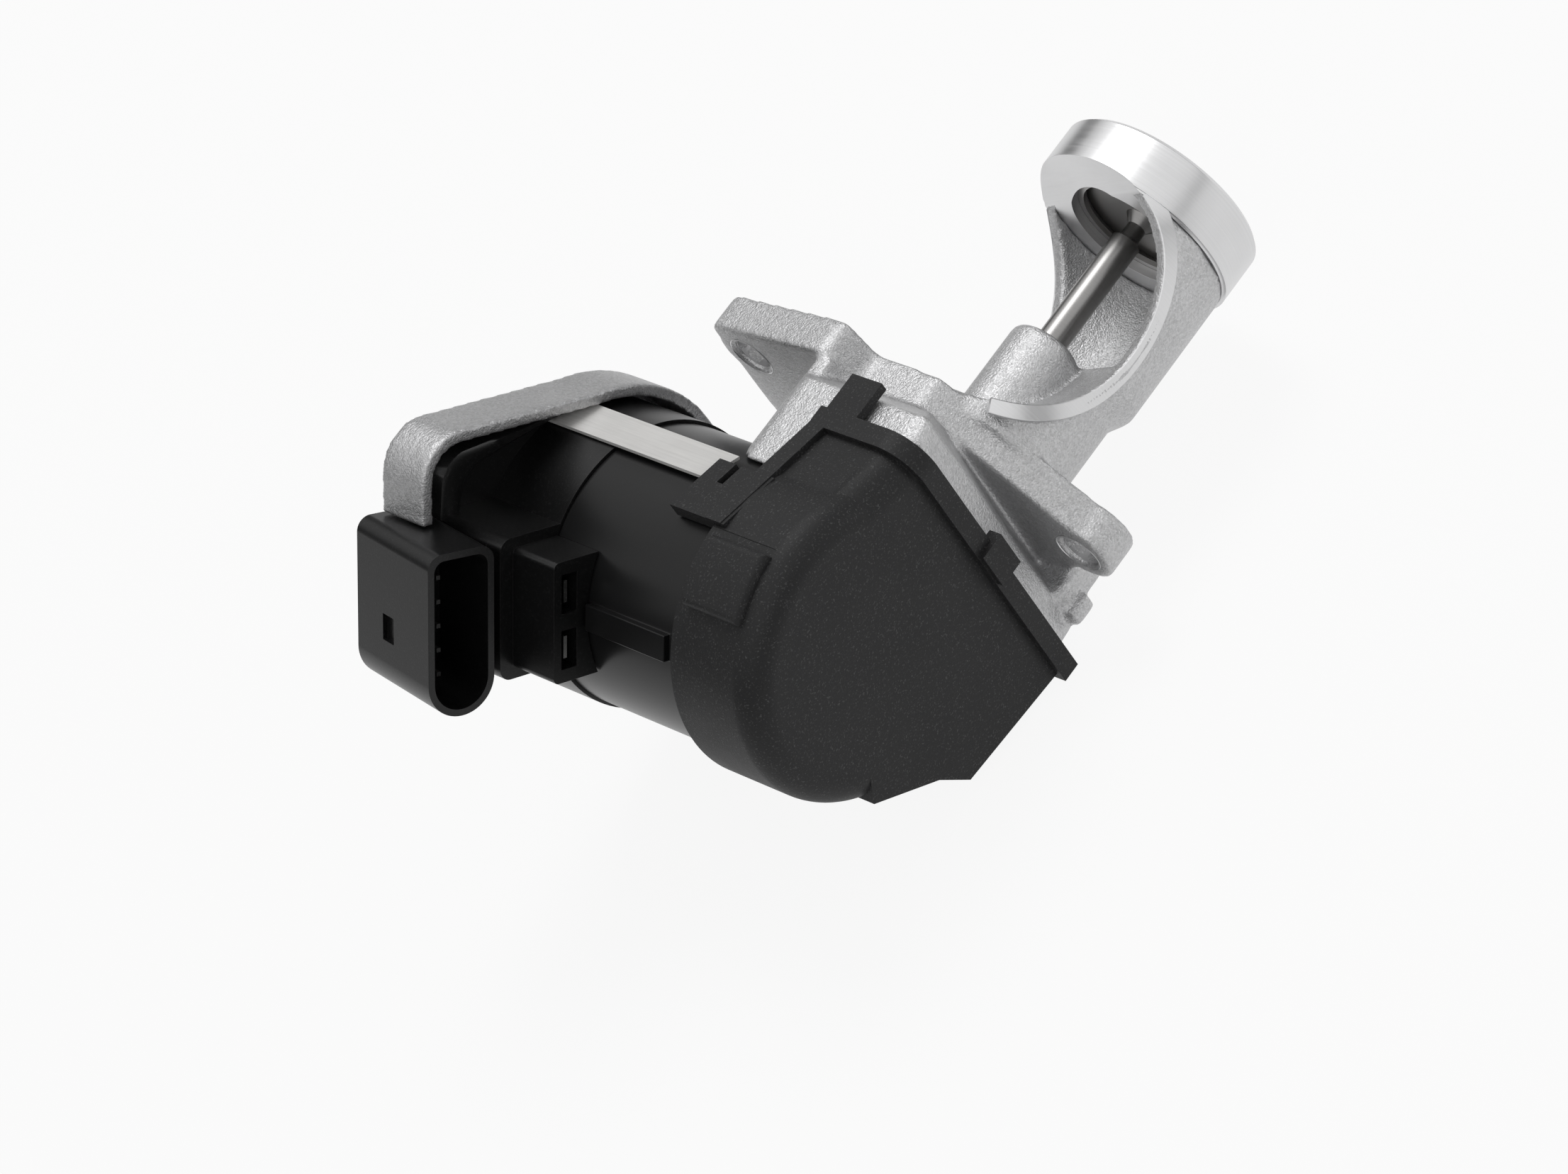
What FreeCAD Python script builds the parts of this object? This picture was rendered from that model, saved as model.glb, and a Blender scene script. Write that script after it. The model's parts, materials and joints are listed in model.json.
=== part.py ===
# Electric exhaust gas recirculation valve, in millimetres.
# Origin: on the valve stem's axis, in the flange face that meets the engine.
# X runs along the stem towards the seat, Y towards the motor's rear, Z up.
import FreeCAD, Part
import math
import os
import re
import Sketcher

# Sizes, each written once

SIZES = {
    # fits
    "running_gap": 0.03,
    "assembly_gap": 0.2,
    "gear_backlash": 0.06,
    # flange of the casting
    "flange_thick": 7.5,
    "flange_hole_r": 3.9,
    "ear_upper_y": 40.8,
    "ear_upper_z": 19.4,
    "ear_upper_r": 7.6,
    "ear_front_y": -24.3,
    "ear_front_z": -13.2,
    "ear_front_r": 7.2,
    "ear_lower_y": 38.0,
    "ear_lower_z": -22.0,
    "ear_lower_r": 8.0,
    "flange_side_y": 47.8,
    "flange_side_z": 26.6,
    "flange_crest_y": 14.5,
    "flange_crest_z": 30.8,
    "flange_notch_y": 11.8,
    "flange_notch_z": 22.0,
    "flange_brow_y": -3.5,
    "flange_brow_z": 21.4,
    "flange_cheek_y": -14.5,
    "flange_cheek_z": 9.0,
    "flange_arm_y": -28.0,
    "flange_arm_z": -7.4,
    "flange_chin_y": -21.0,
    "flange_chin_z": -19.6,
    "flange_hem_y": -8.0,
    "flange_hem_z": -26.0,
    "flange_tail_y": 38.0,
    "flange_tail_z": -29.8,
    "flange_heel_y": 45.8,
    "flange_heel_z": -22.5,
    "flange_corner_r": 2.5,
    "ear_web_back": -13.0,
    "ear_web_low_z": 18.0,
    "ear_web_high_z": 29.4,
    "ear_web_front_y": 12.8,
    # pipe of the casting
    "neck_r": 18.2,
    "neck_seat": -1.0,
    "neck_end": 17.5,
    "barrel_start": 21.5,
    "barrel_r": 20.4,
    "barrel_end": 50.8,
    "ring_r": 21.0,
    "ring_end": 61.5,
    "ring_chamfer": 0.8,
    "bore_r": 17.5,
    "bore_floor": 23.6,
    "seat_wall_start": 50.4,
    "seat_hole_r": 13.0,
    "seat_ring_r": 13.8,
    "seat_ring_start": 52.4,
    "ring_bore_r": 16.5,
    "ring_bore_floor": 55.0,
    "window_r": 26.0,
    "window_centre_x": 26.0,
    "window_centre_g": 19.6,
    "window_turn": 24.8,
    "window_land_r": 29.0,
    "window_land_start": 2.1,
    "land_r": 20.75,
    "guide_boss_r": 7.2,
    "guide_boss_round": 1.6,
    "pipe_lug_r": 3.1,
    "pipe_lug_x": 18.6,
    "pipe_lug_reach": 22.4,
    "pipe_lug_turn": 217.0,
    # gear case of the casting
    "case_mouth": -19.3,
    "case_back": -36.0,
    "case_front_y": -20.0,
    "case_rear_y": 16.5,
    "case_side_y": 1.0,
    "case_top_z": 32.0,
    "case_bottom_z": -31.5,
    "case_round": 5.0,
    "case_ridge_x": -13.5,
    "case_ridge_y": -17.8,
    "case_slope_y": -8.0,
    "case_slope_z": 22.0,
    "case_foot_z": -26.0,
    "cavity_front_y": -17.3,
    "cavity_rear_y": 13.3,
    "cavity_top_z": 28.8,
    "cavity_bottom_z": -28.3,
    "cavity_end_x": -10.7,
    "cavity_ridge_x": -16.5,
    "cavity_crest_x": -15.5,
    "cavity_slope_z": 20.0,
    "cavity_foot_z": -24.0,
    "cavity_far_x": -40.0,
    "sole_far_x": -58.0,
    "sole_far_z": -16.0,
    "sole_rear_y": 5.0,
    # stepped toes under the front ear
    "toe_near_end": -2.7,
    "toe_near_y": -18.7,
    "toe_near_low_z": -28.5,
    "toe_near_high_z": -21.5,
    "toe_far_start": -14.1,
    "toe_far_end": -8.7,
    "toe_far_y": -21.0,
    "toe_far_low_z": -29.5,
    "toe_far_high_z": -25.6,
    "toe_round": 1.2,
    "spring_pocket_r": 9.0,
    "spring_pocket_floor": -2.0,
    # valve
    "stem_r": 2.95,
    "stem_end": 49.0,
    "stem_shoulder": -17.8,
    "stem_tip": -22.4,
    "stem_tip_r": 2.0,
    "stem_neck_r": 1.9,
    "stem_neck_x": 49.8,
    "disc_fillet_r": 3.4,
    "disc_neck_x": 52.6,
    "disc_back_r": 12.6,
    "disc_back_x": 54.36,
    "disc_r": 13.3,
    "disc_rim_x": 55.06,
    "disc_face_x": 57.0,
    "seat_r": 11.7,
    "seat_cone_x": 53.4,
    "bush_r": 5.0,
    "bush_start": 1.0,
    "bush_end": 23.5,
    "seal_start": -2.0,
    "retainer_r": 8.2,
    "retainer_start": -17.8,
    "retainer_hub_end": -14.2,
    "retainer_end": -16.0,
    "spring_wire_r": 0.7,
    "spring_mean_r": 7.3,
    "spring_turns": 4.5,
    "spring_pitch": 2.8,
    # drive of the valve
    "output_x": -31.0,
    "output_z": -4.3,
    "crank_reach": 4.5,
    "crank_rest": -30.0,
    "crank_pin_r": 2.0,
    "crank_root_r": 3.2,
    "roller_r": 3.5,
    "roller_gap": 0.08,
    "yoke_front_y": -7.2,
    "yoke_rear_y": -3.5,
    "yoke_back_x": -40.0,
    "yoke_half_z": 9.0,
    "yoke_slot_half_z": 5.6,
    "yoke_lug_x": -22.0,
    "yoke_lug_rear_y": 4.5,
    "yoke_lug_half_z": 5.0,
    "crank_end_y": -3.7,
    # gears
    "fine_module": 0.7,
    "coarse_module": 0.9,
    "pinion_teeth": 12,
    "wheel_teeth": 28,
    "drive_teeth": 12,
    "sector_teeth": 42,
    "sector_margin": 8.0,
    "stroke_angle": 60.0,
    "pressure_angle": 20.0,
    "addendum": 0.75,
    "dedendum": 1.05,
    "middle_x": -38.2,
    "middle_z": 18.9,
    "fine_front_y": -12.0,
    "fine_rear_y": -8.0,
    "coarse_front_y": -16.8,
    "coarse_rear_y": -12.6,
    "pivot_r": 2.0,
    "pivot_front_y": -19.9,
    "output_pivot_rear_y": -8.6,
    "output_hub_r": 4.2,
    "output_hub_rear_y": -9.0,
    "middle_hub_r": 3.4,
    "middle_hub_front_y": -17.4,
    "middle_hub_rear_y": -3.6,
    "middle_pivot_rear_y": -1.0,
    # gear cover
    "cover_front_y": -20.5,
    "cover_inner_y": -18.3,
    "cover_rear_y": 0.8,
    "cover_step": 2.7,
    "cover_wall": 2.2,
    "cover_top_round": 6.4,
    "cover_drum_round": 5.6,
    "cover_inner_top_near_z": 30.3,
    "cover_inner_round": 4.2,
    "cover_hollow_round": 3.6,
    "cover_inner_top_far_z": 36.8,
    "cover_inner_toe_x": -53.2,
    "cover_inner_toe_z": -22.4,
    "cover_inner_foot_x": -48.4,
    "cover_inner_foot_z": -27.9,
    "cover_inner_heel_z": -29.8,
    "cover_past_mouth_x": -18.0,
    "cover_inner_tangent_x": -65.6,
    "cover_inner_tangent_z": -11.6,
    "cover_top_near_z": 33.2,
    "cover_top_far_x": -50.5,
    "cover_top_far_z": 39.6,
    "cover_top_low_z": 20.0,
    "cover_tangent_x": -67.2,
    "cover_tangent_z": -13.2,
    "cover_toe_x": -54.4,
    "cover_toe_z": -23.3,
    "cover_foot_x": -49.5,
    "cover_foot_z": -30.0,
    "cover_heel_x": -23.0,
    "cover_heel_z": -32.0,
    "collar_back": -23.3,
    "collar_front_y": -22.0,
    "collar_top_z": 34.6,
    "collar_round": 7.6,
    "collar_bottom_z": -33.4,
    "collar_rear_y": 2.5,
    "rail_far_x": -50.0,
    "rail_far_z": 40.6,
    "rail_low_near_z": 32.0,
    "rail_low_far_z": 38.0,
    "rail_front_y": -1.3,
    "block_start": -50.0,
    "block_end": -37.0,
    "block_front_y": -2.0,
    "block_rear_y": 12.0,
    "block_top_near_z": 37.4,
    "block_top_far_z": 40.4,
    "block_bottom_z": 30.0,
    "block_slot_y": 6.3,
    "block_slot_wide": 1.5,
    "block_slot_x": -42.0,
    "top_tab_end": -11.4,
    "top_tab_front_y": -6.4,
    "top_tab_rear_y": 1.1,
    "top_tab_low_z": 32.8,
    "front_tab_back": -23.0,
    "front_tab_end": -17.4,
    "front_tab_y": -23.2,
    "front_tab_rear_y": -20.3,
    "front_tab_low_z": -3.6,
    "front_tab_high_z": 4.8,
    "bump_r": 31.6,
    "bump_front_y": -15.5,
    "bump_rear_y": -2.0,
    "bump_half_wide": 6.6,
    "bump_turn": -19.0,
    "bump_round": 1.4,
    "gasket_back": -20.3,
    "gasket_outer_y": -19.8,
    "gasket_top_z": 31.7,
    "gasket_wide": 1.2,
    "gasket_bottom_z": -31.3,
    # motor
    "motor_x": -49.0,
    "motor_z": 10.0,
    "motor_tilt": 39.0,
    "shell_r": 26.8,
    "shell_wall": 3.6,
    "seat_gap": 0.1,
    "cradle_gap": 0.3,
    "shell_rear_y": 36.7,
    "plate_front_y": -3.0,
    "rib_front_y": 4.0,
    "rib_rear_y": 25.0,
    "rib_high": 1.4,
    "rib_wide": 5.0,
    "can_wall": 1.8,
    "can_front_y": 0.2,
    "can_wall_y": 2.0,
    "can_rear_y": 36.4,
    "magnet_thick": 3.7,
    "magnet_front_y": 12.0,
    "magnet_rear_y": 34.0,
    "magnet_gap": 6.0,
    "air_gap": 0.5,
    "core_front_y": 13.0,
    "core_rear_y": 33.0,
    "core_slot_wide": 2.4,
    "core_slot_root_r": 8.0,
    "core_slots": 8,
    "winding_inset": 3.0,
    "winding_bore_r": 5.0,
    "winding_front_y": 9.0,
    "winding_rear_y": 37.0,
    "shaft_r": 1.6,
    "shaft_front_y": -12.4,
    "shaft_rear_y": 52.0,
    "shaft_collar_r": 3.0,
    "bearing_r": 5.0,
    "commutator_r": 6.0,
    "commutator_front_y": 38.5,
    "commutator_rear_y": 45.5,
    "brush_front_y": 40.0,
    "brush_wide": 3.6,
    "brush_long": 7.0,
    "holder_wall": 1.4,
    "holder_start": 8.0,
    "holder_end": 15.0,
    "brush_plate_front_y": 46.6,
    "brush_plate_rear_y": 49.6,
    "sensor_magnet_r": 3.4,
    "sensor_magnet_front_y": 51.0,
    "sensor_magnet_rear_y": 53.4,
    "sensor_front_y": 54.4,
    "sensor_half": 8.0,
    "screw_r": 1.2,
    "screw_head_r": 1.9,
    "screw_head_high": 1.6,
    "screw_long": 9.0,
    "screw_inset": 1.8,
    "screw_first_turn": 60.0,
    "screw_count": 3,
    # rear housing of the motor
    "rear_step": 0.6,
    "rear_wall": 2.0,
    "rear_end_y": 57.3,
    "rear_wall_y": 55.8,
    "hood_u": -38.0,
    "hood_half": 13.5,
    "hood_round": 2.5,
    "box_u": -35.0,
    "box_inner_u": -20.0,
    "box_half": 11.5,
    "box_front_y": 25.5,
    "box_rear_y": 38.5,
    "box_round": 1.2,
    "box_slot_y": 30.5,
    "box_slot_out_u": -33.2,
    "box_slot_in_u": -29.6,
    "box_slot_near": 1.6,
    "box_slot_far": 9.0,
    "blade_out_u": -31.8,
    "blade_thick": 0.8,
    "blade_near": 3.2,
    "blade_far": 7.4,
    "blade_tip_y": 26.6,
    # connector socket
    "socket_u": -54.0,
    "socket_y": 37.4,
    "socket_turn": -9.0,
    "socket_wide": 13.6,
    "socket_deep": 25.0,
    "socket_low": -17.3,
    "socket_high": 14.0,
    "socket_wall": 1.3,
    "socket_floor": 17.0,
    "socket_corner_r": 2.8,
    "web_low": -12.0,
    "web_high": 11.0,
    "web_front_y": 45.0,
    "pin_half": 0.4,
    "pin_count": 5,
    "pin_pitch": 4.6,
    "pin_tip": 8.0,
    "pin_first": -12.0,
    "latch_deep": 1.0,
    "latch_start": 12.2,
    "latch_end": 16.0,
    "latch_low": -6.5,
    "latch_high": -1.5,
    "web_out_u": -46.0,
    # bracket and strip
    "bracket_r": 31.0,
    "bracket_thick": 2.4,
    "bracket_u": -45.5,
    "bracket_top": 30.8,
    "bracket_round": 9.0,
    "bracket_front_y": 49.0,
    "bracket_back_y": 57.5,
    "bracket_rear_y": 60.5,
    "bracket_low": -12.0,
    "bracket_left_low": 14.3,
    "bracket_cut_u": -34.0,
    "strip_wide": 8.3,
    "strip_thick": 0.6,
    "strip_r": 27.45,
    "strip_turn": 24.0,
    "strip_front_y": 12.0,
    "strip_rear_y": 57.5,
    "bracket_screw_u": 12.0,
    "bracket_screw_n": 17.0,
    "bracket_screw_head_r": 3.2,
    "bracket_screw_head_high": 2.2,
    "bracket_screw_r": 1.6,
}

# sizes that follow from others
LINKED = {
    "cover_r": "shell_r + cover_step",
    "cover_bore_r": "cover_r - cover_wall",
    "cradle_r": "shell_r + cradle_gap",
    "plate_r": "shell_r - seat_gap",
    "shell_bore_r": "shell_r - shell_wall",
    "can_r": "shell_bore_r - seat_gap",
    "can_bore_r": "can_r - can_wall",
    "magnet_r": "can_bore_r - seat_gap",
    "magnet_bore_r": "magnet_r - magnet_thick",
    "core_r": "magnet_bore_r - air_gap",
    "winding_r": "core_r - winding_inset",
    "screw_circle_r": "shell_r - screw_inset",
    "rear_r": "shell_r + rear_step",
    "rear_bore_r": "rear_r - rear_wall",
    "brush_plate_r": "rear_bore_r - assembly_gap",
}

doc = FreeCAD.newDocument("EgrValve")
sheet = doc.addObject("Spreadsheet::Sheet", "Sizes")
for line, (word, number) in enumerate(SIZES.items(), start=1):
    sheet.set("A%d" % line, word)
    sheet.set("B%d" % line, str(number))
    sheet.setAlias("B%d" % line, word)
doc.recompute()

NEAR = 0.01
FLANK_STEPS = 4
ARC_STEPS = 12
FUNCTIONS = ("sin", "cos", "tan", "sqrt", "atan2")
ALONG = {
    "X": FreeCAD.Rotation(FreeCAD.Vector(0, 1, 0), 90),
    "Y": FreeCAD.Rotation(FreeCAD.Vector(1, 0, 0), -90),
    "Z": FreeCAD.Rotation(),
}
NODES = []


def formula(text):
    """Turn size words in an expression into references to the sheet, and linked words into their rules."""
    def swap(found):
        word = found.group(0)
        if word in LINKED:
            return "(%s)" % formula(LINKED[word])
        return word if word in FUNCTIONS else "Sizes." + word
    return re.sub(r"[A-Za-z_][A-Za-z_0-9]*", swap, text)


def bind(item, **rules):
    """Bind properties of an object to expressions made of size words."""
    for name, text in rules.items():
        item.setExpression(name.replace("__", "."), formula(text))
    return item


def place(item, x, y, z, rotation=None):
    """Give an object a position made of size words, and a rotation."""
    item.Placement = FreeCAD.Placement(FreeCAD.Vector(), rotation or FreeCAD.Rotation())
    return bind(item, Placement__Base__x=x, Placement__Base__y=y, Placement__Base__z=z)


def cylinder(name, radius, start, end, axis="X", centre=("0", "0")):
    """Cylinder from start to end along an axis, about a centre line."""
    item = doc.addObject("Part::Cylinder", name)
    bind(item, Radius=radius, Height="(%s) - (%s)" % (end, start))
    first, second = centre
    spot = {"X": (start, first, second), "Y": (first, start, second), "Z": (first, second, start)}
    return place(item, *spot[axis], rotation=ALONG[axis])


def cone(name, first_r, second_r, start, end, axis="X", centre=("0", "0")):
    """Cone from start to end along an axis."""
    item = doc.addObject("Part::Cone", name)
    bind(item, Radius1=first_r, Radius2=second_r, Height="(%s) - (%s)" % (end, start))
    first, second = centre
    spot = {"X": (start, first, second), "Y": (first, start, second), "Z": (first, second, start)}
    return place(item, *spot[axis], rotation=ALONG[axis])


def box(name, x0, x1, y0, y1, z0, z1):
    """Box between two corners made of size words."""
    item = doc.addObject("Part::Box", name)
    bind(item, Length="(%s) - (%s)" % (x1, x0))
    bind(item, Width="(%s) - (%s)" % (y1, y0))
    bind(item, Height="(%s) - (%s)" % (z1, z0))
    return place(item, x0, y0, z0)


def fuse(name, *items):
    """Join several solids; a single one is only wrapped, so that it can be carried."""
    if len(items) == 1:
        wrap = doc.addObject("Part::Compound", name)
        wrap.Links = list(items)
        return wrap
    item = doc.addObject("Part::MultiFuse", name)
    item.Shapes = list(items)
    item.Refine = True
    return item


def common(name, *items):
    """Keep what several solids share."""
    item = doc.addObject("Part::MultiCommon", name)
    item.Shapes = list(items)
    item.Refine = True
    return item


def cut(name, base, tool):
    """Take one solid away from another."""
    item = doc.addObject("Part::Cut", name)
    item.Base = base
    item.Tool = tool
    item.Refine = True
    return item


def rounded(name, base, radius, chosen):
    """Round the edges of a solid that a test picks."""
    doc.recompute()
    item = doc.addObject("Part::Fillet", name)
    item.Base = base
    picked = [k for k, edge in enumerate(base.Shape.Edges, start=1) if chosen(edge)]
    size = SIZES[radius]
    item.Edges = [(k, size, size) for k in picked]
    return item


def midpoint(edge):
    """Middle of an edge."""
    low, high = edge.ParameterRange
    return edge.valueAt((low + high) / 2)


def runs_along(edge, axis):
    """True for a straight edge along X, Y or Z."""
    if edge.Curve.TypeId != "Part::GeomLine":
        return False
    way = edge.Curve.Direction
    return abs(abs({"X": way.x, "Y": way.y, "Z": way.z}[axis]) - 1) < 1e-6


PLANES = {"X": "YZ_Plane", "Y": "XZ_Plane", "Z": "XY_Plane"}


def draw_outline(sketch, corners):
    """Closed straight-edged outline; a corner with no second word lies on the first axis."""
    spots = [FreeCAD.Vector(number_of(across), number_of(up) if up else 0, 0) for across, up in corners]
    for k, spot in enumerate(spots):
        sketch.addGeometry(Part.LineSegment(spot, spots[(k + 1) % len(spots)]))
    for k in range(len(spots)):
        sketch.addConstraint(Sketcher.Constraint("Coincident", k, 2, (k + 1) % len(spots), 1))
    for k, (across, up) in enumerate(corners):
        rules = [("DistanceX", across)]
        if up:
            rules.append(("DistanceY", up))
        else:
            sketch.addConstraint(Sketcher.Constraint("PointOnObject", k, 1, -1))
        for kind, text in rules:
            number = sketch.addConstraint(Sketcher.Constraint(kind, -1, 1, k, 1, number_of(text)))
            sketch.setExpression("Constraints[%d]" % number, formula(text))


def slab(name, axis, start, end, corners, radius=None):
    """Straight-edged outline padded from start to end along an axis, corners rounded."""
    body = doc.addObject("PartDesign::Body", name)
    sketch = body.newObject("Sketcher::SketchObject", name + "_outline")
    plane = next(f for f in body.Origin.OriginFeatures if f.Role == PLANES[axis])
    sketch.AttachmentSupport = [(plane, "")]
    sketch.MapMode = "FlatFace"
    flip = axis == "Y"
    shift = "-(%s)" % end if flip else start
    sketch.setExpression("AttachmentOffset.Base.z", formula(shift))
    draw_outline(sketch, corners)
    pad = body.newObject("PartDesign::Pad", name + "_pad")
    pad.Profile = sketch
    pad.setExpression("Length", formula("(%s) - (%s)" % (end, start)))
    body.Tip = pad
    doc.recompute()
    if radius:
        edges = [k for k, e in enumerate(pad.Shape.Edges, start=1) if runs_along(e, axis)]
        soft = body.newObject("PartDesign::Fillet", name + "_rounding")
        soft.Base = (pad, ["Edge%d" % k for k in edges])
        soft.setExpression("Radius", formula(radius))
        body.Tip = soft
        doc.recompute()
    return body


def number_of(text):
    """Number that a sum or difference of size words stands for."""
    total = 0
    for sign, word in re.findall(r"([+-]?)\s*([A-Za-z_]\w*)", text):
        size = number_of(LINKED[word]) if word in LINKED else SIZES[word]
        total += -size if sign == "-" else size
    return total


def node(item, name):
    """Mark an object as one sub-part."""
    item.Label = name
    NODES.append(item)
    return item


def seat_in_motor(item):
    """Carry a shape drawn about the motor's own axis to its place, tilted about Y."""
    turn = FreeCAD.Rotation(FreeCAD.Vector(0, 1, 0), SIZES["motor_tilt"])
    return place(item, "motor_x", "0", "motor_z", turn)


# Housing casting

def turned_cylinder(name, radius, turn, x, g, start, end):
    """Cylinder across the stem, its axis in the plane square to X, turned about X."""
    item = doc.addObject("Part::Cylinder", name)
    bind(item, Radius=radius, Height="(%s) - (%s)" % (end, start))
    about_x = FreeCAD.Rotation(FreeCAD.Vector(1, 0, 0), -SIZES[turn])
    y = "(%s) * sin(%s) + (%s) * cos(%s)" % (g, turn, start, turn)
    z = "(%s) * cos(%s) - (%s) * sin(%s)" % (g, turn, start, turn)
    return place(item, x, y, z, about_x.multiply(ALONG["Y"]))


def flange():
    """Mounting flange with three ears."""
    plate = slab("flange_plate", "X", "-flange_thick", "0", [
        ("flange_side_y", "flange_side_z"),
        ("flange_crest_y", "flange_crest_z"),
        ("flange_notch_y", "flange_notch_z"),
        ("flange_brow_y", "flange_brow_z"),
        ("flange_cheek_y", "flange_cheek_z"),
        ("flange_arm_y", "flange_arm_z"),
        ("flange_chin_y", "flange_chin_z"),
        ("flange_hem_y", "flange_hem_z"),
        ("flange_tail_y", "flange_tail_z"),
        ("flange_heel_y", "flange_heel_z"),
    ], "flange_corner_r")
    ears = []
    for name in ("upper", "front", "lower"):
        centre = ("ear_%s_y" % name, "ear_%s_z" % name)
        ears.append(cylinder("ear_" + name, "ear_%s_r" % name, "-flange_thick", "0", "X", centre))
    web = box("ear_web", "ear_web_back", "-flange_thick", "ear_web_front_y", "case_rear_y",
              "ear_web_low_z", "ear_web_high_z")
    return fuse("flange_body", plate, *ears, web)


def gear_case():
    """Outside of the open gear case behind the flange."""
    plan = slab("case_plan", "Z", "case_bottom_z", "case_top_z", [
        ("case_back", "case_side_y"),
        ("case_mouth", "case_side_y"),
        ("case_mouth", "case_front_y"),
        ("case_ridge_x", "case_ridge_y"),
        ("-flange_thick", "case_slope_y"),
        ("-flange_thick", "case_rear_y"),
        ("case_back", "case_rear_y"),
    ])
    side = slab("case_side", "Y", "case_front_y", "case_rear_y", [
        ("case_back", "case_bottom_z"),
        ("case_ridge_x", "case_bottom_z"),
        ("-flange_thick", "case_foot_z"),
        ("-flange_thick", "case_slope_z"),
        ("case_ridge_x", "case_top_z"),
        ("case_back", "case_top_z"),
    ])
    section = slab("case_section", "X", "case_back", "-flange_thick", [
        ("case_front_y", "case_bottom_z"),
        ("case_rear_y", "case_bottom_z"),
        ("case_rear_y", "case_top_z"),
        ("case_front_y", "case_top_z"),
    ], "case_round")
    outside = common("case_outside", plan, side, section)
    sole = slab("case_sole", "Y", "case_side_y", "sole_rear_y", [
        ("cavity_far_x", "cover_heel_z"),
        ("case_mouth", "cover_heel_z"),
        ("case_mouth", "case_foot_z"),
        ("sole_far_x", "sole_far_z"),
        ("cover_toe_x", "cover_toe_z"),
        ("cover_foot_x", "cover_foot_z"),
    ])
    return fuse("case_body", outside, sole)


def toes():
    """Two stepped toes that tie the front ear to the case's lower corner."""
    steps = []
    for name, start, end in (("near", "case_ridge_x", "toe_near_end"),
                             ("far", "toe_far_start", "toe_far_end")):
        step = box("toe_%s_block" % name, start, end, "toe_%s_y" % name, "case_slope_y",
                   "toe_%s_low_z" % name, "toe_%s_high_z" % name)
        front = SIZES["toe_%s_y" % name]
        steps.append(rounded("toe_" + name, step, "toe_round", lambda e: abs(midpoint(e).y - front) < NEAR))
    return steps


def case_cavity():
    """Room for the gears and the yoke inside the case."""
    plan = slab("cavity_plan", "Z", "cavity_bottom_z", "cavity_top_z", [
        ("cavity_far_x", "cavity_front_y"),
        ("cavity_ridge_x", "cavity_front_y"),
        ("cavity_end_x", "case_slope_y"),
        ("cavity_end_x", "cavity_rear_y"),
        ("cavity_far_x", "cavity_rear_y"),
    ])
    side = slab("cavity_side", "Y", "cavity_front_y", "cavity_rear_y", [
        ("cavity_far_x", "cavity_bottom_z"),
        ("cavity_crest_x", "cavity_bottom_z"),
        ("cavity_end_x", "cavity_foot_z"),
        ("cavity_end_x", "cavity_slope_z"),
        ("cavity_crest_x", "cavity_top_z"),
        ("cavity_far_x", "cavity_top_z"),
    ])
    return common("cavity_room", plan, side)


def pipe():
    """Pipe with its side window, raised land, end ring and seat wall."""
    neck = cylinder("pipe_neck", "neck_r", "seal_start", "neck_end")
    shoulder = cone("pipe_shoulder", "neck_r", "barrel_r", "neck_end", "barrel_start")
    barrel = cylinder("pipe_barrel", "barrel_r", "barrel_start", "barrel_end")
    ring = cylinder("pipe_ring", "ring_r", "barrel_end", "ring_end - ring_chamfer")
    lip = cone("pipe_lip", "ring_r", "ring_r - ring_chamfer", "ring_end - ring_chamfer", "ring_end")
    lug = turned_cylinder("pipe_lug", "pipe_lug_r", "pipe_lug_turn", "pipe_lug_x", "0", "0",
                          "pipe_lug_reach")
    disc = turned_cylinder("land_disc", "window_land_r", "window_turn", "window_centre_x",
                           "window_centre_g",
                           "-cover_r", "cover_r")
    skin = cylinder("land_skin", "land_r", "window_land_start", "barrel_end")
    land = common("window_land", disc, skin)
    body = fuse("pipe_body", neck, shoulder, barrel, ring, lip, lug, land)
    hollow = fuse("pipe_hollow", cylinder("pipe_bore", "bore_r", "bore_floor", "seat_wall_start"),
                  cylinder("seat_hole", "seat_hole_r", "bore_floor", "ring_end"),
                  cylinder("seat_pocket", "seat_ring_r", "seat_ring_start", "ring_end"),
                  cylinder("ring_bore", "ring_bore_r", "ring_bore_floor", "ring_end + assembly_gap"))
    window = turned_cylinder("window_cutter", "window_r", "window_turn", "window_centre_x",
                             "window_centre_g",
                             "-cover_r", "cover_r")
    opened = cut("pipe_opened", body, fuse("pipe_openings", hollow, window))
    boss = cylinder("guide_boss", "guide_boss_r", "seal_start", "bore_floor")
    end_x = SIZES["bore_floor"]
    soft_boss = rounded("guide_boss_soft", boss, "guide_boss_round",
                        lambda e: abs(midpoint(e).x - end_x) < NEAR)
    return fuse("pipe_finished", opened, soft_boss)


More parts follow.
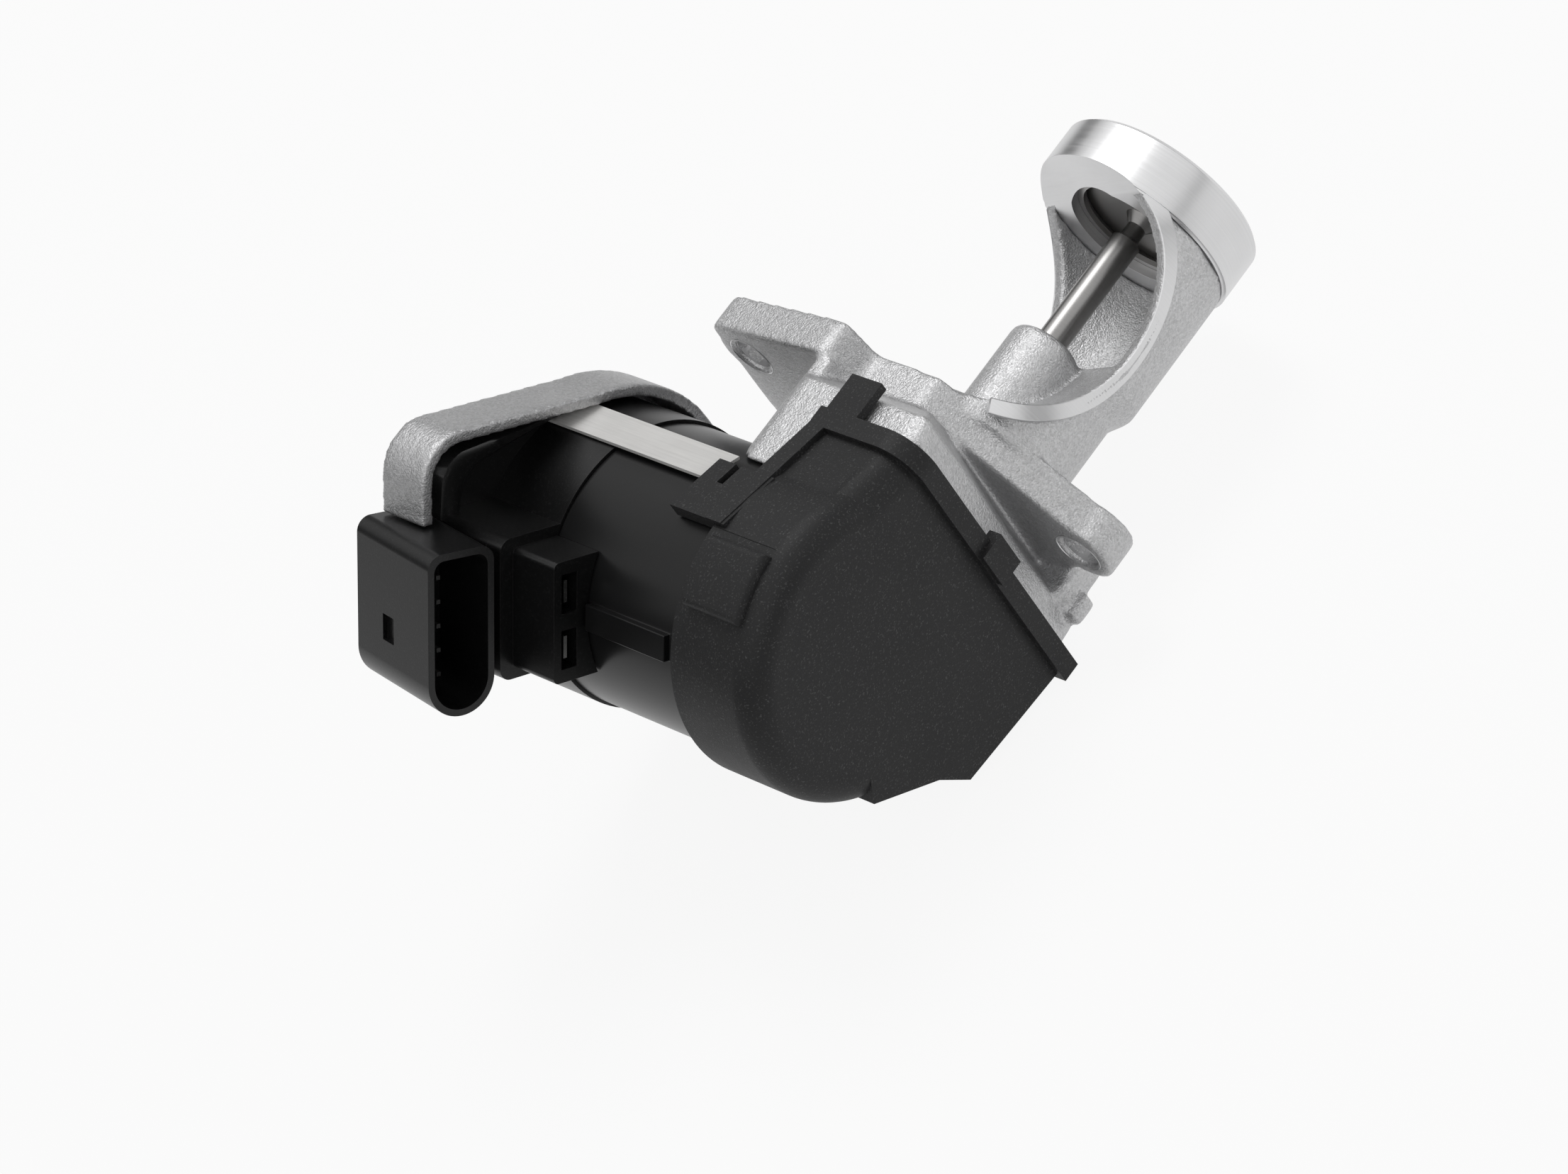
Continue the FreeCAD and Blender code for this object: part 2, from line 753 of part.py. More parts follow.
def housing():
    """The casting, told apart into flange with gear case, pipe, and end ring."""
    body = fuse("housing_outside", flange(), gear_case(), pipe(), *toes())
    holes = []
    for name in ("upper", "front", "lower"):
        centre = ("ear_%s_y" % name, "ear_%s_z" % name)
        holes.append(cylinder("hole_" + name, "flange_hole_r", "case_ridge_x", "assembly_gap", "X", centre))
    pocket = cylinder("spring_pocket", "spring_pocket_r", "cavity_end_x - assembly_gap",
                      "spring_pocket_floor")
    guide = cylinder("guide_bore", "bush_r", "spring_pocket_floor", "bore_floor")
    cradle = cylinder("motor_cradle", "cradle_r", "collar_front_y", "rear_end_y", "Y",
                      ("motor_x", "motor_z"))
    inside = fuse("housing_inside", case_cavity(), pocket, guide, cradle, *holes)
    casting = cut("housing_casting", body, inside)
    pipe_zone = fuse("pipe_zone", cylinder("neck_zone", "neck_r", "neck_seat", "0"),
                     cylinder("barrel_zone", "cover_r", "0", "seat_wall_start"))
    ring_zone = cylinder("ring_zone", "cover_r", "seat_wall_start", "ring_end")
    node(cut("housing_body", casting, fuse("front_zone", pipe_zone, ring_zone)), "valve_housing")
    node(common("gas_pipe_body", casting, pipe_zone), "gas_pipe")
    node(common("end_ring_body", casting, ring_zone), "end_ring")


# Valve, its seat and its guide

def valve_seat():
    """Pressed seat ring with a cone for the disc."""
    ring = cylinder("seat_blank", "seat_ring_r", "seat_ring_start", "ring_bore_floor")
    hole = cylinder("seat_throat", "seat_r", "bore_floor", "ring_end")
    face = cone("seat_face", "seat_r", "seat_r + ring_bore_floor - seat_cone_x",
                "seat_cone_x", "ring_bore_floor")
    return node(cut("seat_ring", ring, fuse("seat_inside", hole, face)), "valve_seat")


def guide_bush():
    """Plain bush that guides the stem."""
    blank = cylinder("bush_blank", "bush_r", "bush_start", "bush_end")
    hole = cylinder("bush_hole", "stem_r + running_gap", "seal_start", "bore_floor")
    return node(cut("bush_ring", blank, hole), "guide_bush")


def stem_seal():
    """Seal ring under the bush."""
    blank = cylinder("seal_blank", "bush_r", "seal_start", "bush_start")
    hole = cylinder("seal_hole", "stem_r + running_gap", "case_ridge_x", "bore_floor")
    return node(cut("seal_ring", blank, hole), "stem_seal")


def valve_poppet():
    """Stem with a thin neck and a coned disc, turned in one piece."""
    body = doc.addObject("PartDesign::Body", "poppet_body")
    sketch = body.newObject("Sketcher::SketchObject", "poppet_profile")
    plane = next(f for f in body.Origin.OriginFeatures if f.Role == "XY_Plane")
    sketch.AttachmentSupport = [(plane, "")]
    sketch.MapMode = "FlatFace"
    corners = [
        ("stem_tip", None),
        ("stem_tip", "stem_tip_r"),
        ("stem_shoulder", "stem_tip_r"),
        ("stem_shoulder", "stem_r"),
        ("stem_end", "stem_r"),
        ("stem_neck_x", "stem_neck_r"),
        ("disc_neck_x", "stem_neck_r"),
        ("disc_back_x", "disc_fillet_r"),
        ("disc_back_x", "disc_back_r"),
        ("disc_rim_x", "disc_r"),
        ("disc_face_x", "disc_r"),
        ("disc_face_x", None),
    ]
    draw_outline(sketch, corners)
    turn = body.newObject("PartDesign::Revolution", "poppet_turned")
    turn.Profile = sketch
    turn.ReferenceAxis = (sketch, ["H_Axis"])
    turn.Angle = 360
    body.Tip = turn
    return node(body, "valve_poppet")


def return_spring():
    """Coil spring between the retainer and the pocket in the flange."""
    path = doc.addObject("Part::Helix", "spring_path")
    bind(path, Pitch="spring_pitch", Height="spring_pitch * spring_turns", Radius="spring_mean_r")
    place(path, "retainer_end + spring_wire_r", "0", "0", ALONG["X"])
    wire = doc.addObject("Part::Circle", "spring_wire")
    bind(wire, Radius="spring_wire_r")
    across = FreeCAD.Rotation(FreeCAD.Vector(1, 0, 0), 90)
    place(wire, "retainer_end + spring_wire_r", "0", "-spring_mean_r", across)
    coil = doc.addObject("Part::Sweep", "spring_coil")
    coil.Sections = [wire]
    coil.Spine = (path, ["Edge1"])
    coil.Solid = True
    coil.Frenet = True
    return node(coil, "return_spring")


def spring_retainer():
    """Cap on the stem that carries the spring."""
    cap = cylinder("retainer_cap", "retainer_r", "retainer_start", "retainer_end")
    hub = cylinder("retainer_hub", "bush_r", "retainer_end", "retainer_hub_end")
    hole = cylinder("retainer_hole", "stem_r", "stem_tip", "bush_start")
    return node(cut("retainer_ring", fuse("retainer_blank", cap, hub), hole), "spring_retainer")


# Drive of the valve

def drive_yoke():
    """Slotted plate with a lug that holds the stem."""
    plate = box("yoke_plate", "yoke_back_x", "stem_shoulder", "yoke_front_y", "yoke_rear_y",
                "-yoke_half_z", "yoke_half_z")
    lug = box("yoke_lug", "yoke_lug_x", "stem_shoulder", "yoke_front_y", "yoke_lug_rear_y",
              "-yoke_lug_half_z", "yoke_lug_half_z")
    rest = "output_x + crank_reach * sin(crank_rest)"
    half = "(roller_r + roller_gap)"
    slot = box("yoke_slot", rest + " - " + half, rest + " + " + half, "cover_inner_y", "cover_rear_y",
               "-yoke_slot_half_z", "yoke_slot_half_z")
    hole = cylinder("yoke_hole", "stem_tip_r", "yoke_back_x", "seal_start")
    blank = fuse("yoke_blank", plate, lug)
    return node(cut("yoke_body", blank, fuse("yoke_inside", slot, hole)), "drive_yoke")


def crank_spot():
    """Centre of the crank pin with the valve closed."""
    return ("output_x + crank_reach * sin(crank_rest)", "output_z + crank_reach * cos(crank_rest)")


def crank_roller():
    """Roller on the crank pin."""
    blank = cylinder("roller_blank", "roller_r", "yoke_front_y", "crank_end_y", "Y", crank_spot())
    hole = cylinder("roller_hole", "crank_pin_r", "cover_inner_y", "cover_rear_y", "Y", crank_spot())
    return node(cut("roller_ring", blank, hole), "crank_roller")


def tooth_points(teeth, module, centre_angle):
    """Points of one tooth: two involute flanks between the root and the tip."""
    pitch_r = teeth * module / 2
    base_r = pitch_r * math.cos(math.radians(SIZES["pressure_angle"]))
    tip_r = pitch_r + SIZES["addendum"] * module
    root_r = pitch_r - SIZES["dedendum"] * module
    spread = math.tan(math.radians(SIZES["pressure_angle"])) - math.radians(SIZES["pressure_angle"])
    half = math.pi / (2 * teeth) - SIZES["gear_backlash"] / (4 * pitch_r) + spread
    start_r = max(base_r, root_r)
    flank = []
    for step in range(FLANK_STEPS + 1):
        radius = start_r + (tip_r - start_r) * step / FLANK_STEPS
        roll = math.acos(min(1, base_r / radius))
        flank.append((radius, half - (math.tan(roll) - roll)))
    if root_r < base_r:
        flank.insert(0, (root_r, half))
    left = [(radius, centre_angle - angle) for radius, angle in flank]
    right = [(radius, centre_angle + angle) for radius, angle in reversed(flank)]
    return left + right


def ring_of_teeth(teeth, module, first_angle, count, centre, front, rear, hub_r):
    """Solid of a toothed wheel or sector; angles run from Z towards X."""
    points = []
    for k in range(count):
        points += tooth_points(teeth, module, first_angle + 2 * math.pi * k / teeth)
    if count < teeth:
        last = points[-1][1]
        first = points[0][1]
        arc = [(hub_r, last + (first - last) * k / ARC_STEPS) for k in range(ARC_STEPS + 1)]
        points += arc
    corners = [FreeCAD.Vector(centre[0] + r * math.sin(a), front, centre[1] + r * math.cos(a))
               for r, a in points]
    face = Part.Face(Part.makePolygon(corners + corners[:1]))
    return face.extrude(FreeCAD.Vector(0, rear - front, 0))


def middle_line():
    """Angle, from Z towards X, of the line from the motor to the middle gear."""
    return math.atan2(SIZES["middle_x"] - SIZES["motor_x"], SIZES["middle_z"] - SIZES["motor_z"])


def output_line():
    """Angle, from Z towards X, of the line from the output pivot to the middle gear."""
    return math.atan2(SIZES["middle_x"] - SIZES["output_x"], SIZES["middle_z"] - SIZES["output_z"])


def teeth_piece(name, teeth, module, angle, count, centre, front, rear, hub_r=0):
    """Toothed solid kept as a plain shape, because its flanks follow a formula."""
    item = doc.addObject("Part::Feature", name)
    spot = (SIZES[centre + "_x"], SIZES[centre + "_z"])
    item.Shape = ring_of_teeth(SIZES[teeth], SIZES[module], angle, count, spot,
                               SIZES[front], SIZES[rear], hub_r)
    return item


def motor_pinion():
    """Steel pinion on the rotor shaft."""
    teeth = teeth_piece("pinion_blank", "pinion_teeth", "fine_module", middle_line(), SIZES["pinion_teeth"],
                        "motor", "fine_front_y", "fine_rear_y")
    hole = cylinder("pinion_hole", "shaft_r", "cover_inner_y", "cover_rear_y", "Y", ("motor_x", "motor_z"))
    return node(cut("pinion_body", teeth, hole), "motor_pinion")


def intermediate_gear():
    """Double gear between the pinion and the output sector."""
    wheel_phase = middle_line() + math.pi + math.pi / SIZES["wheel_teeth"]
    wheel = teeth_piece("wheel_blank", "wheel_teeth", "fine_module", wheel_phase, SIZES["wheel_teeth"],
                        "middle", "fine_front_y", "fine_rear_y")
    drive = teeth_piece("drive_blank", "drive_teeth", "coarse_module", output_line() + math.pi,
                        SIZES["drive_teeth"],
                        "middle", "coarse_front_y", "fine_front_y")
    spot = ("middle_x", "middle_z")
    hub = cylinder("middle_hub", "middle_hub_r", "middle_hub_front_y", "middle_hub_rear_y", "Y", spot)
    hole = cylinder("middle_hole", "pivot_r + running_gap", "cover_front_y", "cover_rear_y", "Y", spot)
    return node(cut("middle_body", fuse("middle_blank", wheel, drive, hub), hole), "intermediate_gear")


def output_gear():
    """Output sector with its hub and crank pin."""
    pitch = 2 * math.pi / SIZES["sector_teeth"]
    mesh = output_line() + pitch / 2
    before = math.ceil(math.radians(SIZES["stroke_angle"] + SIZES["sector_margin"]) / pitch)
    after = math.ceil(math.radians(SIZES["sector_margin"]) / pitch)
    sector = teeth_piece("sector_blank", "sector_teeth", "coarse_module", mesh - before * pitch,
                         before + after,
                         "output", "coarse_front_y", "coarse_rear_y", SIZES["crank_pin_r"])
    spot = ("output_x", "output_z")
    hub = cylinder("output_hub", "output_hub_r", "middle_hub_front_y", "output_hub_rear_y", "Y", spot)
    arm = cylinder("crank_root", "crank_root_r", "coarse_front_y", "output_hub_rear_y", "Y", crank_spot())
    pin = cylinder("crank_pin", "crank_pin_r", "coarse_rear_y", "crank_end_y", "Y", crank_spot())
    hole = cylinder("output_hole", "pivot_r + running_gap", "cover_front_y", "output_pivot_rear_y", "Y",
                    spot)
    blank = fuse("output_blank", sector, hub, arm, pin)
    return node(cut("output_body", blank, hole), "output_gear")


def pivots():
    """Fixed pins of the output sector and of the double gear."""
    node(cylinder("output_pin", "pivot_r", "pivot_front_y", "output_hub_rear_y", "Y",
                  ("output_x", "output_z")),
         "output_pivot")
    node(cylinder("middle_pin", "pivot_r", "pivot_front_y", "middle_pivot_rear_y", "Y",
                  ("middle_x", "middle_z")),
         "intermediate_pin")


# Gear cover

def gear_cover():
    """Plastic cover with its collar, rail, tabs, block and bump."""
    spot = ("motor_x", "motor_z")
    front = SIZES["cover_front_y"]
    drum = cylinder("cover_drum", "cover_r", "cover_front_y", "cover_rear_y", "Y", spot)
    drum = rounded("cover_drum_soft", drum, "cover_drum_round", lambda e: abs(midpoint(e).y - front) < NEAR)
    block_body = slab("cover_box", "Y", "cover_front_y", "cover_rear_y", [
        ("case_mouth", "cover_heel_z"),
        ("case_mouth", "cover_top_near_z"),
        ("collar_back", "cover_top_near_z"),
        ("cover_top_far_x", "cover_top_far_z"),
        ("cover_top_far_x", "cover_top_low_z"),
        ("cover_tangent_x", "cover_tangent_z"),
        ("cover_toe_x", "cover_toe_z"),
        ("cover_foot_x", "cover_foot_z"),
        ("cover_heel_x", "cover_heel_z"),
    ])
    top_z = SIZES["cover_top_near_z"]
    crest = rounded("cover_box_soft", block_body, "cover_top_round",
                    lambda e: abs(midpoint(e).y - front) < NEAR and midpoint(e).z > top_z - NEAR)
    collar = slab("cover_collar", "X", "collar_back", "case_mouth", [
        ("collar_front_y", "collar_bottom_z"),
        ("collar_rear_y", "collar_bottom_z"),
        ("collar_rear_y", "collar_top_z"),
        ("collar_front_y", "collar_top_z"),
    ])
    collar = rounded("cover_collar_soft", collar, "collar_round",
                     lambda e: runs_along(e, "X") and midpoint(e).y < 0 and midpoint(e).z > 0)
    rail = slab("cover_rail", "Y", "rail_front_y", "collar_rear_y", [
        ("case_mouth", "rail_low_near_z"),
        ("case_mouth", "collar_top_z"),
        ("collar_back", "collar_top_z"),
        ("rail_far_x", "rail_far_z"),
        ("rail_far_x", "rail_low_far_z"),
    ])
    block = slab("cover_block", "Y", "block_front_y", "block_rear_y", [
        ("block_end", "block_bottom_z"),
        ("block_end", "block_top_near_z"),
        ("block_start", "block_top_far_z"),
        ("block_start", "block_bottom_z"),
    ])
    top_tab = box("top_tab", "collar_back", "top_tab_end", "top_tab_front_y", "top_tab_rear_y",
                  "top_tab_low_z", "collar_top_z")
    front_tab = box("front_tab", "front_tab_back", "front_tab_end", "front_tab_y", "front_tab_rear_y",
                    "front_tab_low_z", "front_tab_high_z")
    outside = fuse("cover_outside", drum, crest, collar, rail, block, top_tab, front_tab, cover_bump())
    return node(cut("cover_body", outside, cover_hollow()), "gear_cover")


def cover_bump():
    """Raised pad on the drum."""
    disc = cylinder("bump_disc", "bump_r", "bump_front_y", "bump_rear_y", "Y", ("motor_x", "motor_z"))
    lane = doc.addObject("Part::Box", "bump_lane")
    bind(lane, Length="bump_half_wide * 2", Width="cover_r * 2", Height="cover_r * 2")
    turn = FreeCAD.Rotation(FreeCAD.Vector(0, 1, 0), SIZES["bump_turn"])
    place(lane, "motor_x - bump_half_wide * cos(bump_turn)", "-cover_r",
          "motor_z + bump_half_wide * sin(bump_turn)", turn)
    pad = common("bump_pad", disc, lane)
    rim = SIZES["bump_r"] - SIZES["running_gap"]

    def outer(edge):
        spot = midpoint(edge)
        far = math.hypot(spot.x - SIZES["motor_x"], spot.z - SIZES["motor_z"])
        return far > rim and spot.y < SIZES["bump_rear_y"] - SIZES["assembly_gap"]

    return rounded("bump_soft", pad, "bump_round", outer)


def cover_hollow():
    """Room inside the cover, with the gasket groove, pin sockets and slot."""
    spot = ("motor_x", "motor_z")
    front = SIZES["cover_inner_y"]
    drum = cylinder("hollow_drum", "cover_bore_r", "cover_inner_y", "block_rear_y + assembly_gap", "Y",
                    spot)
    drum = rounded("hollow_drum_soft", drum, "cover_hollow_round",
                   lambda e: abs(midpoint(e).y - front) < NEAR)
    room = slab("hollow_box", "Y", "cover_inner_y", "block_rear_y", [
        ("cover_past_mouth_x", "cover_inner_heel_z"),
        ("cover_past_mouth_x", "cover_inner_top_near_z"),
        ("collar_back", "cover_inner_top_near_z"),
        ("cover_top_far_x", "cover_inner_top_far_z"),
        ("motor_x", "motor_z"),
        ("cover_inner_tangent_x", "cover_inner_tangent_z"),
        ("cover_inner_toe_x", "cover_inner_toe_z"),
        ("cover_inner_foot_x", "cover_inner_foot_z"),
    ])
    top_z = SIZES["cover_inner_top_near_z"]
    room = rounded("hollow_box_soft", room, "cover_inner_round",
                   lambda e: abs(midpoint(e).y - front) < NEAR and midpoint(e).z > top_z - NEAR)
    slot = box("block_slot", "block_slot_x", "block_end + assembly_gap", "block_slot_y",
               "block_slot_y + block_slot_wide", "block_bottom_z", "rail_far_z")
    case_room = box("cover_case_room", "case_mouth", "seal_start", "case_front_y - assembly_gap",
                    "case_rear_y", "case_bottom_z", "case_top_z + assembly_gap")
    back_room = box("cover_back_room", "sole_far_x", "seal_start", "case_side_y - assembly_gap",
                    "case_rear_y",
                    "cover_heel_z - assembly_gap", "case_top_z + assembly_gap")
    pins = [cylinder("cover_pin_a", "pivot_r", "pivot_front_y", "cover_inner_y", "Y",
                     ("output_x", "output_z")),
            cylinder("cover_pin_b", "pivot_r", "pivot_front_y", "cover_inner_y", "Y",
                     ("middle_x", "middle_z"))]
    return fuse("cover_inside", drum, room, slot, case_room, back_room, gasket_ring("groove"), *pins)


def gasket_ring(name):
    """Three-sided gasket between the casting's rim and the cover."""
    outside = box(name + "_outside", "gasket_back", "case_mouth", "gasket_outer_y", "cover_rear_y",
                  "gasket_bottom_z", "gasket_top_z")
    inside = box(name + "_inside", "gasket_back", "case_mouth", "gasket_outer_y + gasket_wide",
                 "cover_rear_y",
                 "gasket_bottom_z + gasket_wide", "gasket_top_z - gasket_wide")
    return cut(name + "_ring", outside, inside)


# Motor, drawn about its own axis

def motor_tube(name, outer, inner, start, end):
    """Ring about the motor's axis."""
    blank = cylinder(name + "_blank", outer, start, end, "Y")
    return cut(name + "_tube", blank, cylinder(name + "_bore", inner, start, end, "Y"))


def screw_spots():
    """Centres of the front screws, evenly spread about the motor's axis."""
    turns = ["(screw_first_turn + %d * 360 / screw_count)" % k for k in range(SIZES["screw_count"])]
    return [("motor_x + screw_circle_r * sin%s" % t, "motor_z + screw_circle_r * cos%s" % t) for t in turns]


def front_screws():
    """Three screws that hold the front plate to the shell."""
    parts = []
    for k, spot in enumerate(screw_spots()):
        parts.append(cylinder("screw_%d" % k, "screw_r", "plate_front_y", "screw_long", "Y", spot))
        parts.append(cylinder("screw_head_%d" % k, "screw_head_r", "plate_front_y - screw_head_high",
                              "plate_front_y", "Y", spot))
    return node(fuse("front_screws", *parts), "motor_screws")


def screw_holes(name):
    """Holes for the three front screws."""
    return [cylinder("%s_hole_%d" % (name, k), "screw_r", "plate_front_y", "screw_long", "Y", spot)
            for k, spot in enumerate(screw_spots())]


def motor_front():
    """Front plate and bearing."""
    spot = ("motor_x", "motor_z")
    blank = cylinder("plate_blank", "plate_r", "plate_front_y", "0", "Y", spot)
    middle = cylinder("plate_middle_hole", "bearing_r", "plate_front_y", "0", "Y", spot)
    pin = cylinder("plate_pin_hole", "pivot_r", "plate_front_y", "middle_pivot_rear_y", "Y",
                   ("middle_x", "middle_z"))
    node(cut("plate_body", blank, fuse("plate_inside", middle, pin, *screw_holes("plate"))),
         "motor_front_plate")
    node(seat_in_motor(bearing("front_bearing_ring", "plate_front_y", "0")), "front_bearing")


def bearing(name, start, end):
    """Plain bearing on the rotor shaft."""
    outer = cylinder(name + "_blank", "bearing_r", start, end, "Y")
    inner = cylinder(name + "_bore", "shaft_r + running_gap", start, end, "Y")
    return cut(name, outer, inner)


def motor_front_shell():
    """Smooth drum around the front of the motor, with one rib."""
    spot = ("motor_x", "motor_z")
    tube = cylinder("shell_blank", "shell_r", "0", "shell_rear_y", "Y", spot)
    rib = seat_in_motor(fuse("shell_rib", box("rib_bar", "-shell_r - rib_high", "-shell_bore_r",
                                              "rib_front_y",
                                              "rib_rear_y", "-rib_wide / 2", "rib_wide / 2")))
    bore = cylinder("shell_bore", "shell_bore_r", "0", "shell_rear_y", "Y", spot)
    inside = fuse("shell_inside", bore, *screw_holes("shell"))
    return node(cut("shell_body", fuse("shell_outside", tube, rib), inside), "motor_front_shell")


def motor_can():
    """Steel can with a holed front wall."""
    cup = cylinder("can_blank", "can_r", "can_front_y", "can_rear_y", "Y")
    room = cylinder("can_room", "can_bore_r", "can_wall_y", "can_rear_y", "Y")
    hole = cylinder("can_hole", "bearing_r", "can_front_y", "can_rear_y", "Y")
    return node(seat_in_motor(cut("can_body", cup, fuse("can_inside", room, hole))), "motor_can")


def motor_magnets():
    """Two magnet shells inside the can."""
    ring = motor_tube("magnet", "magnet_r", "magnet_bore_r", "magnet_front_y", "magnet_rear_y")
    gap = box("magnet_gap_box", "-magnet_r", "magnet_r", "magnet_front_y", "magnet_rear_y",
              "-magnet_gap / 2", "magnet_gap / 2")
    return node(seat_in_motor(cut("magnet_pair", ring, gap)), "motor_magnets")


def slotted_core(name):
    """Rotor core with its slots."""
    blank = cylinder(name + "_blank", "core_r", "core_front_y", "core_rear_y", "Y")
    slots = []
    for k in range(SIZES["core_slots"]):
        slot = doc.addObject("Part::Box", "%s_slot_%d" % (name, k))
        bind(slot, Length="core_r", Width="core_rear_y - core_front_y", Height="core_slot_wide")
        turn = "(%d * 360 / core_slots)" % k
        rotation = FreeCAD.Rotation(FreeCAD.Vector(0, 1, 0), k * 360 / SIZES["core_slots"])
        place(slot, "core_slot_root_r * cos%s - core_slot_wide / 2 * sin%s" % (turn, turn), "core_front_y",
              "-core_slot_root_r * sin%s - core_slot_wide / 2 * cos%s" % (turn, turn), rotation)
        slots.append(slot)
    hole = cylinder(name + "_hole", "shaft_r", "core_front_y", "core_rear_y", "Y")
    return cut(name, blank, fuse(name + "_inside", hole, *slots))


def rotor():
    """Shaft, core, windings, commutator and sensor magnet."""
    shaft = cylinder("shaft_bar", "shaft_r", "shaft_front_y", "shaft_rear_y", "Y")
    node(seat_in_motor(fuse("shaft_body", shaft, cylinder("shaft_collar", "shaft_collar_r",
                                                          "winding_rear_y",
                                                          "commutator_front_y", "Y"))), "rotor_shaft")
    core = slotted_core("core_body")
    node(seat_in_motor(core), "rotor_core")
    wound = cylinder("winding_blank", "winding_r", "winding_front_y", "winding_rear_y", "Y")
    inside = fuse("winding_inside", slotted_core("winding_core"),
                  cylinder("winding_hole", "winding_bore_r", "winding_front_y", "winding_rear_y", "Y"))
    node(seat_in_motor(cut("winding_body", wound, inside)), "rotor_windings")
    node(seat_in_motor(motor_tube("commutator", "commutator_r", "shaft_r", "commutator_front_y",
                                  "commutator_rear_y")), "commutator")
    magnet = cylinder("sensor_magnet_blank", "sensor_magnet_r", "sensor_magnet_front_y",
                      "sensor_magnet_rear_y", "Y")
    recess = cylinder("sensor_magnet_recess", "shaft_r", "sensor_magnet_front_y", "shaft_rear_y", "Y")
    node(seat_in_motor(cut("sensor_magnet_body", magnet, recess)), "position_magnet")


def brush_gear():
    """Brush plate with its holders, the brushes and the rear bearing."""
    plate = cylinder("brush_plate_blank", "brush_plate_r", "brush_plate_front_y", "brush_plate_rear_y", "Y")
    hole = cylinder("brush_plate_hole", "bearing_r", "brush_plate_front_y", "brush_plate_rear_y", "Y")
    holders = []
    brushes = []
    for side, sign in (("left", "-"), ("right", "")):
        low, high = ("holder_end", "holder_start") if sign else ("holder_start", "holder_end")
        holders.append(box("holder_" + side, sign + low, sign + high, "brush_front_y - holder_wall",
                           "brush_plate_front_y", "-brush_wide / 2 - holder_wall",
                           "brush_wide / 2 + holder_wall"))
        inner, outer = "commutator_r + running_gap", "commutator_r + brush_long"
        x0, x1 = ("-(%s)" % outer, "-(%s)" % inner) if sign else (inner, outer)
        brushes.append(box("brush_" + side, x0, x1, "brush_front_y", "brush_front_y + brush_wide",
                           "-brush_wide / 2", "brush_wide / 2"))
    body = fuse("brush_plate_outside", plate, *holders)
    pair = fuse("brush_pair", *brushes)
    node(seat_in_motor(cut("brush_plate_body", body, fuse("brush_plate_inside", hole, pair))),
         "brush_plate")
    node(seat_in_motor(fuse("brush_copy", pair)), "motor_brushes")
    node(seat_in_motor(bearing("rear_bearing_ring", "brush_plate_front_y", "brush_plate_rear_y")),
         "rear_bearing")


def position_sensor():
    """Sensor board behind the rotor's magnet."""
    board = box("sensor_board", "-sensor_half", "sensor_half", "sensor_front_y", "rear_wall_y",
                "-sensor_half", "sensor_half")
    return node(seat_in_motor(fuse("sensor_body", board)), "position_sensor")


# Rear housing of the motor with its terminal box and socket

def seat_in_socket(item):
    """Carry a shape drawn in the socket's own frame to its splayed place on the motor."""
    turn = FreeCAD.Rotation(FreeCAD.Vector(0, 0, 1), SIZES["socket_turn"])
    return place(item, "socket_u", "socket_y", "0", turn)


def socket_solid(name, inset, depth):
    """Socket outline, rounder at the bottom, shrunk by an inset."""
    low = SIZES["socket_low"] + number_of(inset)
    block = box(name + "_block", inset, "socket_wide - (%s)" % inset, "0", depth,
                "socket_low + (%s)" % inset, "socket_high - (%s)" % inset)
    full = (SIZES["socket_wide"] - 2 * number_of(inset)) / 2 - SIZES["running_gap"]
    doc.recompute()
    soft = doc.addObject("Part::Fillet", name)
    soft.Base = block
    edges = []
    for k, edge in enumerate(block.Shape.Edges, start=1):
        if runs_along(edge, "Y"):
            near = abs(midpoint(edge).z - low) < NEAR
            radius = full if near else SIZES["socket_corner_r"] - number_of(inset) / 2
            edges.append((k, radius, radius))
    soft.Edges = edges
    return soft


